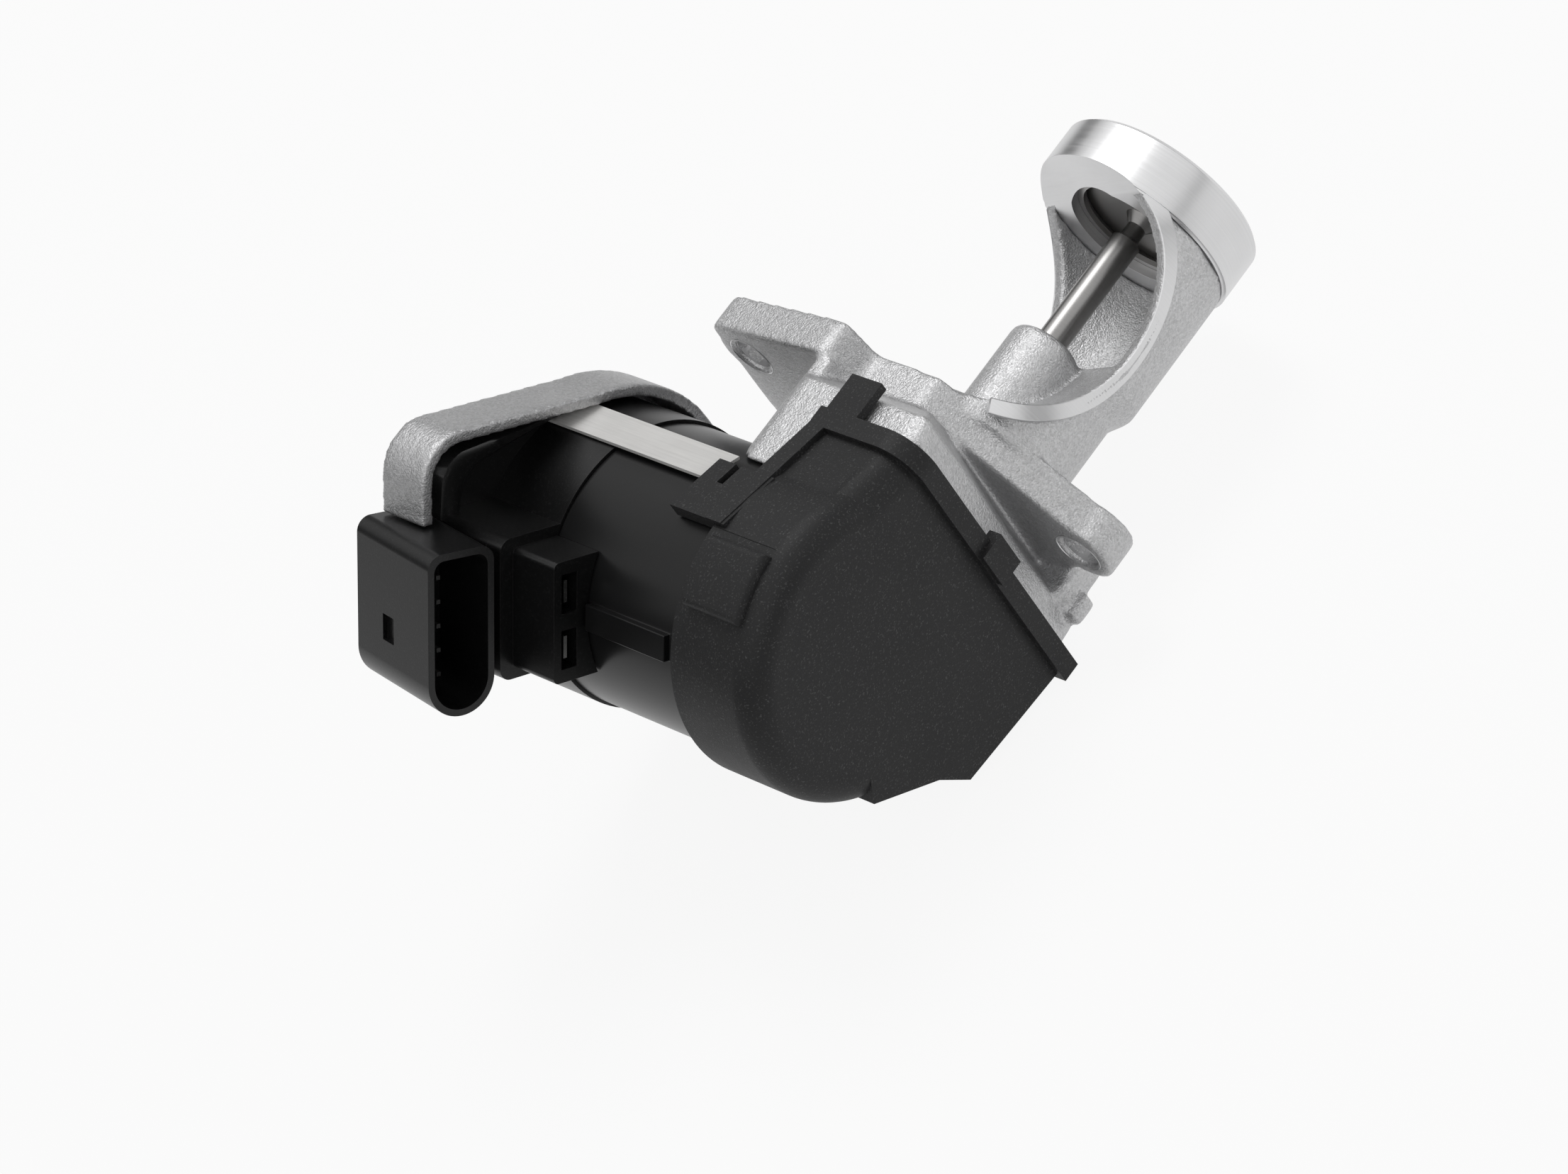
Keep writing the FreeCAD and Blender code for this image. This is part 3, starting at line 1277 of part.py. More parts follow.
def motor_rear_housing():
    """Rear cover of the motor with hood, terminal box, web and socket."""
    drum = cylinder("rear_drum", "rear_r", "shell_rear_y", "rear_end_y", "Y")
    hood = box("rear_hood", "hood_u", "0", "shell_rear_y", "rear_end_y", "-hood_half", "hood_half")
    reach = SIZES["hood_u"]
    hood = rounded("rear_hood_soft", hood, "hood_round",
                   lambda e: runs_along(e, "Y") and midpoint(e).x < reach + NEAR)
    terminal = box("terminal_box", "box_u", "box_inner_u", "box_front_y", "box_rear_y", "-box_half",
                   "box_half")
    terminal = rounded("terminal_box_soft", terminal, "box_round",
                       lambda e: runs_along(e, "Y") and midpoint(e).x < SIZES["box_u"] + NEAR)
    around = cylinder("terminal_room", "cradle_r", "box_front_y", "shell_rear_y", "Y")
    terminal = cut("terminal_outside", terminal, around)
    web = box("socket_web", "web_out_u", "hood_u + hood_round", "web_front_y", "rear_end_y", "web_low",
              "web_high")
    socket = seat_in_socket(fuse("socket_outside", socket_solid("socket_soft", "0", "socket_deep")))
    outside = fuse("rear_outside", drum, hood, terminal, web, socket)
    room = cylinder("rear_room", "rear_bore_r", "shell_rear_y", "rear_wall_y", "Y")
    hood_room = box("hood_room", "hood_u + hood_round", "-shaft_r", "box_rear_y", "rear_wall_y",
                    "-hood_half + hood_round", "hood_half - hood_round")
    opening = socket_solid("socket_room", "socket_wall", "socket_floor")
    latch = box("latch_recess", "0", "latch_deep", "latch_start", "latch_end", "latch_low", "latch_high")
    socket_inside = seat_in_socket(fuse("socket_inside", opening, latch))
    slots = []
    for side, near, far in (("low", "-box_slot_far", "-box_slot_near"),
                            ("high", "box_slot_near", "box_slot_far")):
        slots.append(box("blade_slot_" + side, "box_slot_out_u", "box_slot_in_u", "box_front_y",
                         "box_slot_y",
                         near, far))
    inside = fuse("rear_inside", room, hood_room, socket_inside, *slots,
                  *bracket_screw_bars("housing", "rear_wall_y"))
    return node(seat_in_motor(cut("rear_body", outside, inside)), "motor_rear_housing")


def terminal_blades():
    """Bright blades in the two slots of the terminal box."""
    blades = []
    for side, near, far in (("low", "-blade_far", "-blade_near"), ("high", "blade_near", "blade_far")):
        blades.append(box("blade_" + side, "blade_out_u", "blade_out_u + blade_thick", "blade_tip_y",
                          "box_slot_y",
                          near, far))
    return node(seat_in_motor(fuse("blade_pair", *blades)), "terminal_blades")


def connector_pins():
    """Five pins standing in the socket."""
    pins = []
    for k in range(SIZES["pin_count"]):
        middle = "pin_first + %d * pin_pitch" % k
        pins.append(box("pin_%d" % k, "socket_wide / 2 - pin_half", "socket_wide / 2 + pin_half", "pin_tip",
                        "socket_floor", middle + " - pin_half", middle + " + pin_half"))
    row = seat_in_socket(fuse("pin_row", *pins))
    return node(seat_in_motor(fuse("pin_copy", row)), "connector_pins")


# Bracket, strip and rear screws

def bracket_form(name, inset, start, end):
    """Round form with a squared shoulder on the socket's side."""
    disc = cylinder(name + "_disc", "bracket_r - (%s)" % inset, start, end, "Y")
    shoulder = box(name + "_shoulder", "bracket_u + (%s)" % inset, "0", start, end, "0",
                   "bracket_top - (%s)" % inset)
    left = number_of("bracket_u") + number_of(inset)
    doc.recompute()
    soft = doc.addObject("Part::Fillet", name + "_soft")
    soft.Base = shoulder
    radius = SIZES["bracket_round"] - number_of(inset)
    soft.Edges = [(k, radius, radius) for k, e in enumerate(shoulder.Shape.Edges, start=1)
                  if runs_along(e, "Y") and abs(midpoint(e).x - left) < NEAR and midpoint(e).z > radius]
    return fuse(name, disc, soft)


def bracket_screw_bars(name, end):
    """Shanks of the two rear screws, or the holes for them."""
    bars = []
    for side, u in (("left", "-bracket_screw_u"), ("right", "bracket_screw_u")):
        bars.append(cylinder("%s_bar_%s" % (name, side), "bracket_screw_r", end, "bracket_rear_y", "Y",
                             (u, "bracket_screw_n")))
    return bars


def rear_bracket():
    """Cast bracket around the motor's rear."""
    outside = bracket_form("bracket_outside", "0", "bracket_front_y", "bracket_rear_y")
    room = bracket_form("bracket_room", "bracket_thick", "bracket_front_y", "bracket_back_y")
    below = box("bracket_below", "bracket_u", "bracket_r", "bracket_front_y", "bracket_rear_y",
                "-bracket_r", "bracket_low")
    beside = box("bracket_beside", "bracket_u", "bracket_cut_u", "bracket_front_y", "bracket_rear_y",
                 "bracket_low", "bracket_left_low")
    flank = box("bracket_flank", "bracket_u", "-rear_bore_r", "bracket_front_y", "bracket_back_y",
                "bracket_low", "bracket_left_low")
    inside = fuse("bracket_inside", room, below, beside, flank,
                  *bracket_screw_bars("bracket", "bracket_back_y"))
    return node(seat_in_motor(cut("bracket_body", outside, inside)), "rear_bracket")


def bracket_screws():
    """Two screws through the bracket into the rear housing."""
    parts = bracket_screw_bars("rear_screw", "rear_wall_y")
    for side, u in (("left", "-bracket_screw_u"), ("right", "bracket_screw_u")):
        parts.append(cylinder("rear_screw_head_" + side, "bracket_screw_head_r", "bracket_rear_y",
                              "bracket_rear_y + bracket_screw_head_high", "Y", (u, "bracket_screw_n")))
    return node(seat_in_motor(fuse("rear_screws", *parts)), "bracket_screws")


def clamp_strip():
    """Flat steel strip along the motor, from the cover's block to the bracket."""
    strip = doc.addObject("Part::Box", "strip_bar")
    bind(strip, Length="strip_wide", Width="strip_rear_y - strip_front_y", Height="strip_thick")
    turn = FreeCAD.Rotation(FreeCAD.Vector(0, 1, 0), SIZES["strip_turn"])
    place(strip, "motor_x + strip_r * sin(strip_turn) - strip_wide / 2 * cos(strip_turn)", "strip_front_y",
          "motor_z + strip_r * cos(strip_turn) + strip_wide / 2 * sin(strip_turn)", turn)
    return node(strip, "clamp_strip")


def build():
    """Make every sub-part, check it and write it out."""
    housing()
    valve_seat()
    guide_bush()
    stem_seal()
    valve_poppet()
    return_spring()
    spring_retainer()
    drive_yoke()
    crank_roller()
    motor_pinion()
    intermediate_gear()
    output_gear()
    pivots()
    gear_cover()
    node(gasket_ring("gasket"), "cover_gasket")
    front_screws()
    motor_front()
    motor_front_shell()
    motor_can()
    motor_magnets()
    rotor()
    brush_gear()
    position_sensor()
    motor_rear_housing()
    terminal_blades()
    connector_pins()
    rear_bracket()
    bracket_screws()
    clamp_strip()
    doc.recompute()
    faults = []
    for item in doc.Objects:
        if "Invalid" in item.State or "Error" in item.State:
            faults.append("%s is in state %s" % (item.Name, item.State))
    if faults:
        raise RuntimeError("; ".join(faults))
    os.makedirs("parts", exist_ok=True)
    for item in NODES:
        if item.Shape.isNull() or not item.Shape.isValid():
            raise RuntimeError("%s has no valid shape" % item.Label)
        item.Shape.exportStep("parts/%s.step" % item.Label)
        print(item.Label, len(item.Shape.Solids), round(item.Shape.Volume, 1), item.Shape.BoundBox)


build()
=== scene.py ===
"""Electric exhaust gas recirculation valve: finishes, detail pieces, light and camera."""

import json
import logging
import math
from dataclasses import dataclass
from enum import Enum
from typing import Iterable, Mapping, Sequence

import bmesh
import bpy
import numpy as np
from mathutils import Matrix, Vector

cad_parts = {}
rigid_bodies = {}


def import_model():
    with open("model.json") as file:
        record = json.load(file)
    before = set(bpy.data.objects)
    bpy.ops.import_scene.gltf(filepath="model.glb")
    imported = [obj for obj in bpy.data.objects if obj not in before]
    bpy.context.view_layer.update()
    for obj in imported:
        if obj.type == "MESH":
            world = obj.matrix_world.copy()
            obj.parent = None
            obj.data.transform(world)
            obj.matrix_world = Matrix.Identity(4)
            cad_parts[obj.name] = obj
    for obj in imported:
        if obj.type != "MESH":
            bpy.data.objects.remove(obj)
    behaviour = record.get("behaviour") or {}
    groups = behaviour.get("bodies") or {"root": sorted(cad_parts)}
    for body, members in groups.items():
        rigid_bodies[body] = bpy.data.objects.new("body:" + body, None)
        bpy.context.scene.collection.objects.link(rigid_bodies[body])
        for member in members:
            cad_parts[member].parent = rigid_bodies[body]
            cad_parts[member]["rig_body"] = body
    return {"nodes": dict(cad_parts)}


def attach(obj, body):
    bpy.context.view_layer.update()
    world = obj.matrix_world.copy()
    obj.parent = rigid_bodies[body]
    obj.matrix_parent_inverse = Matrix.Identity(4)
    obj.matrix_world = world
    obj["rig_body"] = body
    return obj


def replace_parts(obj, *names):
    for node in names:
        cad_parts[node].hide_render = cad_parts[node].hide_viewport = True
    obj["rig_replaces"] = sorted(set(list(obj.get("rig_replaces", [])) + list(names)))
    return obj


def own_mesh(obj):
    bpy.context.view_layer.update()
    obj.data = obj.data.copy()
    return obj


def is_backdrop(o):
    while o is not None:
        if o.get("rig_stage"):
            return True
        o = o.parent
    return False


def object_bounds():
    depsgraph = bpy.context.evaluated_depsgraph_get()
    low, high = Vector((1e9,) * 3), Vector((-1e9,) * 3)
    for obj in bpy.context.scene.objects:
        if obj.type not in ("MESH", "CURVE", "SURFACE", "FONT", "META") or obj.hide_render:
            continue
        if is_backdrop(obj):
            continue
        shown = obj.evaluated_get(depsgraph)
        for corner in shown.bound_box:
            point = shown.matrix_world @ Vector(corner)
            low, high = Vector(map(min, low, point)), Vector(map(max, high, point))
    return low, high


Tree = bpy.types.NodeTree
Socket = bpy.types.NodeSocket
Piece = bpy.types.Object
Span = tuple[float, float]

LOG = logging.getLogger("valve")
MM = 0.001
SEW_DISTANCE = 2e-6  # metres
FLOOR_GAP = 0.0005  # metres
FLAT_ANGLE = 0.6  # degrees
SHARP_ANGLE = 35.0  # degrees
WHITE = (1.0, 1.0, 1.0, 1.0)
UNIT_SPAN: Span = (0.0, 1.0)
NOISE_SPAN: Span = (0.3, 0.7)  # nearly all the values of a noise

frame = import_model()


class Grain(Enum):
    """Kinds of fine surface relief."""

    SAND = "sand"
    TURNED = "turned"
    MOULDED = "moulded"
    BRUSHED = "brushed"


# Shader nodes

def noise(tree: Tree, place: Socket, scale: float, detail: float = 3.0,
          rough: float = 0.5) -> Socket:
    """Add a noise texture.

    Args:
        tree: the node tree.
        place: socket that gives the place.
        scale: cycles per metre.
        detail: number of octaves.
        rough: weight of the finer octaves.

    Returns:
        The socket with the noise value.
    """
    node = tree.nodes.new("ShaderNodeTexNoise")
    node.inputs["Scale"].default_value = scale
    node.inputs["Detail"].default_value = detail
    node.inputs["Roughness"].default_value = rough
    tree.links.new(place, node.inputs["Vector"])
    return node.outputs["Fac"]


def math_node(tree: Tree, operation: str, first: Socket | float, second: Socket | float) -> Socket:
    """Add a maths node.

    Args:
        tree: the node tree.
        operation: name of the operation.
        first: socket or number.
        second: socket or number.

    Returns:
        The socket with the result.
    """
    node = tree.nodes.new("ShaderNodeMath")
    node.operation = operation
    for slot, value in enumerate((first, second)):
        if isinstance(value, (int, float)):
            node.inputs[slot].default_value = value
        else:
            tree.links.new(value, node.inputs[slot])
    return node.outputs[0]


def remap(tree: Tree, value: Socket, source: Span, target: Span) -> Socket:
    """Map a value from one range to another, clamped.

    Args:
        tree: the node tree.
        value: socket with the value.
        source: lowest and highest value that come in.
        target: values that go out for them.

    Returns:
        The socket with the result.
    """
    node = tree.nodes.new("ShaderNodeMapRange")
    for word, number in zip(("From Min", "From Max", "To Min", "To Max"), (*source, *target)):
        node.inputs[word].default_value = number
    tree.links.new(value, node.inputs["Value"])
    return node.outputs["Result"]


def scaled(tree: Tree, colour: Socket, factor: Socket) -> Socket:
    """Multiply a colour by a value.

    Args:
        tree: the node tree.
        colour: socket with the colour.
        factor: socket with the value.

    Returns:
        The socket with the product.
    """
    node = tree.nodes.new("ShaderNodeVectorMath")
    node.operation = "SCALE"
    tree.links.new(colour, node.inputs[0])
    tree.links.new(factor, node.inputs["Scale"])
    return node.outputs[0]


def shows_background(tree: Tree) -> Socket:
    """Add a mask of the rays that show what stands behind the object.

    Args:
        tree: the node tree.

    Returns:
        The socket that is 1 for camera, glossy and transmission rays.
    """
    path = tree.nodes.new("ShaderNodeLightPath")
    seen = math_node(tree, "MAXIMUM", path.outputs["Is Camera Ray"], path.outputs["Is Glossy Ray"])
    return math_node(tree, "MAXIMUM", seen, path.outputs["Is Transmission Ray"])


# Shared effects as node groups

@dataclass(frozen=True)
class Effect:
    """A node group that turns a place and a tone into colour, height and roughness.

    Every scale of an effect is in cycles per metre.
    """

    name: str
    cloud_scale: float
    cloud_tone: Span

    def build(self) -> Tree:
        """Build the group.

        Returns:
            The group.
        """
        tree = bpy.data.node_groups.new(self.name, "ShaderNodeTree")
        for word, kind in self.inputs().items():
            tree.interface.new_socket(word, in_out="INPUT", socket_type=kind)
        for word, kind in (("Color", "NodeSocketColor"), ("Height", "NodeSocketFloat"),
                           ("Roughness", "NodeSocketFloat")):
            tree.interface.new_socket(word, in_out="OUTPUT", socket_type=kind)
        inlet = tree.nodes.new("NodeGroupInput").outputs
        outlet = tree.nodes.new("NodeGroupOutput").inputs
        cloud = noise(tree, inlet["Vector"], self.cloud_scale)
        for word, value in self.surface(tree, inlet, cloud).items():
            tree.links.new(value, outlet[word])
        return tree

    def inputs(self) -> dict[str, str]:
        """Give the name and kind of each input."""
        return {"Vector": "NodeSocketVector", "Tone": "NodeSocketColor"}

    def surface(self, tree: Tree, inlet: Mapping[str, Socket], cloud: Socket) -> dict[str, Socket]:
        """Add the nodes between the inputs and the outputs.

        Args:
            tree: the group.
            inlet: sockets of the inputs by name.
            cloud: socket with slow changes over the surface.

        Returns:
            The socket for each output by name.
        """
        raise NotImplementedError


@dataclass(frozen=True)
class SandGrain(Effect):
    """Cast skin: fine pebbled relief, sparkling facets and broad tone changes."""

    cell_scale: float = 2600
    cell_height: float = 0.5
    fine_scale: float = 3600
    fine_rough: float = 0.6
    fine_height: float = 0.5
    fine_span: Span = (0.35, 0.65)
    coarse_scale: float = 900
    facet_tone: Span = (-0.16, 0.18)
    roughness: Span = (0.34, 0.58)

    def surface(self, tree: Tree, inlet: Mapping[str, Socket], cloud: Socket) -> dict[str, Socket]:
        """Add the nodes; the height is a share of the cells' and the fine relief, and the coarse.

        Args:
            tree: the group.
            inlet: sockets of the inputs by name.
            cloud: socket with slow changes over the surface.

        Returns:
            The socket for each output by name.
        """
        cells = tree.nodes.new("ShaderNodeTexVoronoi")
        cells.inputs["Scale"].default_value = self.cell_scale
        tree.links.new(inlet["Vector"], cells.inputs["Vector"])
        fine = noise(tree, inlet["Vector"], self.fine_scale, rough=self.fine_rough)
        coarse = noise(tree, inlet["Vector"], self.coarse_scale)
        bumps = math_node(tree, "SUBTRACT", 1.0, cells.outputs["Distance"])
        high = math_node(tree, "MULTIPLY", bumps, self.cell_height)
        small = math_node(tree, "MULTIPLY", fine, self.fine_height)
        facets = remap(tree, cells.outputs["Color"], UNIT_SPAN, self.facet_tone)
        shade = math_node(tree, "ADD", facets, remap(tree, cloud, NOISE_SPAN, self.cloud_tone))
        return {
            "Color": scaled(tree, inlet["Tone"], shade),
            "Height": math_node(tree, "ADD", high, math_node(tree, "ADD", small, coarse)),
            "Roughness": remap(tree, fine, self.fine_span, self.roughness),
        }


@dataclass(frozen=True)
class MouldedGrain(Effect):
    """Moulded plastic: fine spark-eroded grain, pale dots of painted sparkle and slight cloudiness.
    """

    fine_scale: float = 3000
    fine_rough: float = 0.6
    dot_scale: float = 2600
    dot_detail: float = 2
    # Colour of the pale dots of painted sparkle, which stand in for the grain's glints.
    dot_span: Span = (0.58, 0.72)
    sparkle_tone: Span = (0.0, 0.05)
    dot_height: float = 0.6
    roughness: Span = (0.46, 0.60)

    def inputs(self) -> dict[str, str]:
        """Give the name and kind of each input."""
        return {**super().inputs(), "PaintedSparkle": "NodeSocketFloat"}

    def surface(self, tree: Tree, inlet: Mapping[str, Socket], cloud: Socket) -> dict[str, Socket]:
        """Add the nodes; the pale dots of painted sparkle are added to the clouded tone.

        Args:
            tree: the group.
            inlet: sockets of the inputs by name.
            cloud: socket with slow changes over the surface.

        Returns:
            The socket for each output by name.
        """
        fine = noise(tree, inlet["Vector"], self.fine_scale, rough=self.fine_rough)
        dots = noise(tree, inlet["Vector"], self.dot_scale, detail=self.dot_detail)
        # Painted sparkle: pale dots added to the colour stand in for the glints of the grain.
        sparkle_colour = remap(tree, dots, self.dot_span, self.sparkle_tone)
        sparkle_share = math_node(tree, "MULTIPLY", sparkle_colour, inlet["PaintedSparkle"])
        lift = tree.nodes.new("ShaderNodeCombineXYZ")
        for word in ("X", "Y", "Z"):
            tree.links.new(sparkle_share, lift.inputs[word])
        total = tree.nodes.new("ShaderNodeVectorMath")
        total.operation = "ADD"
        clouded = scaled(tree, inlet["Tone"], remap(tree, cloud, NOISE_SPAN, self.cloud_tone))
        tree.links.new(clouded, total.inputs[0])
        tree.links.new(lift.outputs[0], total.inputs[1])
        pits = math_node(tree, "MULTIPLY", dots, self.dot_height)
        return {
            "Color": total.outputs[0],
            "Height": math_node(tree, "ADD", fine, pits),
            "Roughness": remap(tree, cloud, NOISE_SPAN, self.roughness),
        }


@dataclass(frozen=True)
class LinedMetal(Effect):
    """Tool marks on metal: noise drawn out along the way the tool went.

    Turned rings change along X, hardly along Y and not along Z. Drawn streaks run along Y.
    """

    stretch: tuple[float, float, float]
    line_scale: float
    line_tone: Span
    roughness: Span
    line_rough: float = 0.6
    lines_roughen: bool = False

    def surface(self, tree: Tree, inlet: Mapping[str, Socket], cloud: Socket) -> dict[str, Socket]:
        """Add the nodes; the place is scaled by the stretch before the noise is read.

        Args:
            tree: the group.
            inlet: sockets of the inputs by name.
            cloud: socket with slow changes over the surface.

        Returns:
            The socket for each output by name.
        """
        drawn = tree.nodes.new("ShaderNodeMapping")
        drawn.inputs["Scale"].default_value = self.stretch
        tree.links.new(inlet["Vector"], drawn.inputs["Vector"])
        lines = noise(tree, drawn.outputs[0], self.line_scale, rough=self.line_rough)
        shade = math_node(tree, "MULTIPLY", remap(tree, lines, NOISE_SPAN, self.line_tone),
                          remap(tree, cloud, NOISE_SPAN, self.cloud_tone))
        worn = lines if self.lines_roughen else cloud
        return {
            "Color": scaled(tree, inlet["Tone"], shade),
            "Height": lines,
            "Roughness": remap(tree, worn, NOISE_SPAN, self.roughness),
        }


EFFECTS: dict[Grain, Effect] = {
    Grain.SAND: SandGrain("cast_grain", 60, (0.95, 1.04)),
    Grain.MOULDED: MouldedGrain("moulded_grain", 45, (0.88, 1.12)),
    Grain.TURNED: LinedMetal(
        "turned_rings", 90, (0.96, 1.02), stretch=(1.0, 0.02, 0.0), line_scale=2600, line_rough=0.7,
        line_tone=(0.94, 1.03), roughness=(0.28, 0.36), lines_roughen=True),
    Grain.BRUSHED: LinedMetal(
        "drawn_streaks", 70, (0.95, 1.03), stretch=(1.0, 0.03, 1.0), line_scale=2400,
        line_tone=(0.93, 1.04), roughness=(0.16, 0.30)),
}


# Finishes

@dataclass(frozen=True)
class Finish:
    """One finish: its colour, metalness, relief and the effect that varies it.

    The depth is the relief's, in metres. A roughness given here replaces the effect's.
    """

    name: str
    tone: tuple[float, float, float]
    grain: Grain
    metallic: float = 0.0
    roughness: float | None = None
    strength: float = 0.3
    depth: float = 0.00005
    specular: float = 0.5
    # Share of the pale dots of painted sparkle in the colour.
    painted_sparkle: float = 1.0
    coat: float = 0.0
    coat_roughness: float = 0.15

    def make(self) -> bpy.types.Material:
        """Build the material once.

        Returns:
            The material, with its colour, roughness and relief driven by the effect's group.
        """
        found = bpy.data.materials.get(self.name)
        if found:
            return found
        material = bpy.data.materials.new(self.name)
        material.use_nodes = True
        tree = material.node_tree
        shader = tree.nodes["Principled BSDF"]
        shader.inputs["Metallic"].default_value = self.metallic
        shader.inputs["Specular IOR Level"].default_value = self.specular
        shader.inputs["Coat Weight"].default_value = self.coat
        shader.inputs["Coat Roughness"].default_value = self.coat_roughness
        place = tree.nodes.new("ShaderNodeTexCoord")
        effect = tree.nodes.new("ShaderNodeGroup")
        kind = EFFECTS[self.grain]
        effect.node_tree = bpy.data.node_groups.get(kind.name) or kind.build()
        effect.inputs["Tone"].default_value = (*self.tone, 1.0)
        # Set how much painted sparkle the colour gets.
        if "PaintedSparkle" in effect.inputs:
            effect.inputs["PaintedSparkle"].default_value = self.painted_sparkle
        tree.links.new(place.outputs["Object"], effect.inputs["Vector"])
        tree.links.new(effect.outputs["Color"], shader.inputs["Base Color"])
        if self.roughness is None:
            tree.links.new(effect.outputs["Roughness"], shader.inputs["Roughness"])
        else:
            shader.inputs["Roughness"].default_value = self.roughness
        relief = tree.nodes.new("ShaderNodeBump")
        relief.inputs["Strength"].default_value = self.strength
        relief.inputs["Distance"].default_value = self.depth
        tree.links.new(effect.outputs["Height"], relief.inputs["Height"])
        tree.links.new(relief.outputs["Normal"], shader.inputs["Normal"])
        return material


CAST = Finish("cast_alloy_skin", (0.53, 0.53, 0.535), Grain.SAND, metallic=0.85, strength=1.0,
              depth=0.00016)
BRACKET_CAST = Finish("bracket_alloy_skin", (0.46, 0.46, 0.465), Grain.SAND, metallic=0.85,
                      strength=0.9, depth=0.00014)
MACHINED = Finish("machined_alloy_skin", (0.70, 0.70, 0.705), Grain.TURNED, metallic=0.9,
                  strength=0.012, depth=0.00001)
STEM_STEEL = Finish("stem_steel", (0.30, 0.295, 0.29), Grain.TURNED, metallic=1.0, strength=0.02,
                    depth=0.00001)
SEAT_STEEL = Finish("seat_steel", (0.36, 0.355, 0.35), Grain.TURNED, metallic=1.0, strength=0.1,
                    depth=0.00002)
PLATED = Finish("plated_steel_skin", (0.55, 0.55, 0.54), Grain.BRUSHED, metallic=1.0, strength=0.15,
                depth=0.00002)
STRIP = Finish("strip_steel", (0.88, 0.87, 0.85), Grain.BRUSHED, metallic=0.4, strength=0.03,
               depth=0.00001, roughness=0.42)
# Painted shade: the connector pins get a near-black tone for the shade deep in the socket, not the
# bright tone of their metal.
SHADE_DARKENED_CONTACTS = Finish("shade_darkened_contact", (0.035, 0.035, 0.034), Grain.BRUSHED, metallic=0.4, strength=0.05,
                  roughness=0.6)
DARK_STEEL = Finish("laminated_steel", (0.22, 0.22, 0.23), Grain.BRUSHED, metallic=1.0)
SPRING = Finish("spring_wire_steel", (0.30, 0.30, 0.31), Grain.BRUSHED, metallic=1.0, strength=0.1)
BRONZE = Finish("sintered_bronze", (0.50, 0.33, 0.16), Grain.SAND, metallic=1.0, strength=0.2,
                depth=0.00003)
COPPER = Finish("copper_wire", (0.70, 0.33, 0.18), Grain.BRUSHED, metallic=1.0, strength=0.4,
                depth=0.0001)
COVER = Finish("cover_plastic_skin", (0.0200, 0.0200, 0.0205), Grain.MOULDED, strength=0.5,
               depth=0.00010, specular=0.22)
SHELL = Finish("shell_plastic_skin", (0.0085, 0.0085, 0.0088), Grain.MOULDED, strength=0.05,
               depth=0.00003, roughness=0.3, specular=0.25, painted_sparkle=0.05)
REAR = Finish("rear_plastic_skin", (0.0045, 0.0045, 0.0047), Grain.MOULDED, strength=0.20,
              roughness=0.33, specular=0.34, painted_sparkle=0.25)
PALE = Finish("gear_plastic", (0.70, 0.66, 0.55), Grain.MOULDED, strength=0.1, painted_sparkle=0.0)
RUBBER = Finish("seal_rubber_skin", (0.02, 0.02, 0.02), Grain.MOULDED, strength=0.2, painted_sparkle=0.0)
FERRITE = Finish("ferrite_skin", (0.06, 0.06, 0.065), Grain.SAND, strength=0.2, depth=0.00004)
CARBON = Finish("carbon_skin", (0.04, 0.04, 0.04), Grain.SAND, strength=0.2, depth=0.00004)
BOARD = Finish("board_lacquer", (0.03, 0.16, 0.07), Grain.MOULDED, strength=0.1, painted_sparkle=0.3,
               coat=0.4)

NODES_BY_FINISH: dict[Finish, tuple[str, ...]] = {
    PLATED: ("spring_retainer", "drive_yoke", "crank_roller", "motor_pinion", "output_pivot",
             "intermediate_pin", "motor_screws", "motor_front_plate", "motor_can", "rotor_shaft",
             "terminal_blades"),
    SEAT_STEEL: ("valve_seat",),
    STEM_STEEL: ("valve_poppet",),
    STRIP: ("clamp_strip",),
    SHADE_DARKENED_CONTACTS: ("connector_pins",),
    DARK_STEEL: ("rotor_core",),
    BRONZE: ("guide_bush", "front_bearing", "rear_bearing"),
    COPPER: ("rotor_windings", "commutator"),
    COVER: ("brush_plate",),
    PALE: ("intermediate_gear", "output_gear"),
    RUBBER: ("stem_seal", "cover_gasket"),
    FERRITE: ("motor_magnets", "position_magnet"),
    CARBON: ("motor_brushes",),
    BOARD: ("position_sensor",),
}


def dress_nodes(skip: Iterable[str]) -> None:
    """Give every node that is still shown its finish.

    Args:
        skip: nodes that a new piece stands for.
    """
    finish_of = {name: finish for finish, names in NODES_BY_FINISH.items() for name in names}
    left_out = set(skip)
    for name, node in frame["nodes"].items():
        if name in left_out:
            continue
        material = finish_of[name].make()
        node.data.materials.clear()
        node.data.materials.append(material)
        LOG.info("%s: %s", name, material.name)


# Meshes

def add_object(name: str, mesh: bpy.types.Mesh) -> Piece:
    """Put a mesh in the scene.

    Args:
        name: the object's name.
        mesh: the mesh.

    Returns:
        The new object at the origin.
    """
    piece = bpy.data.objects.new(name, mesh)
    bpy.context.scene.collection.objects.link(piece)
    return piece


def smooth_faces(mesh: bpy.types.Mesh, sharp: float | None = None) -> None:
    """Shade a mesh smoothly.

    Args:
        mesh: the mesh.
        sharp: edges over this angle in degrees stay sharp, if it is given.
    """
    mesh.polygons.foreach_set("use_smooth", np.ones(len(mesh.polygons), bool))
    if sharp is not None:
        mesh.set_sharp_from_angle(angle=math.radians(sharp))


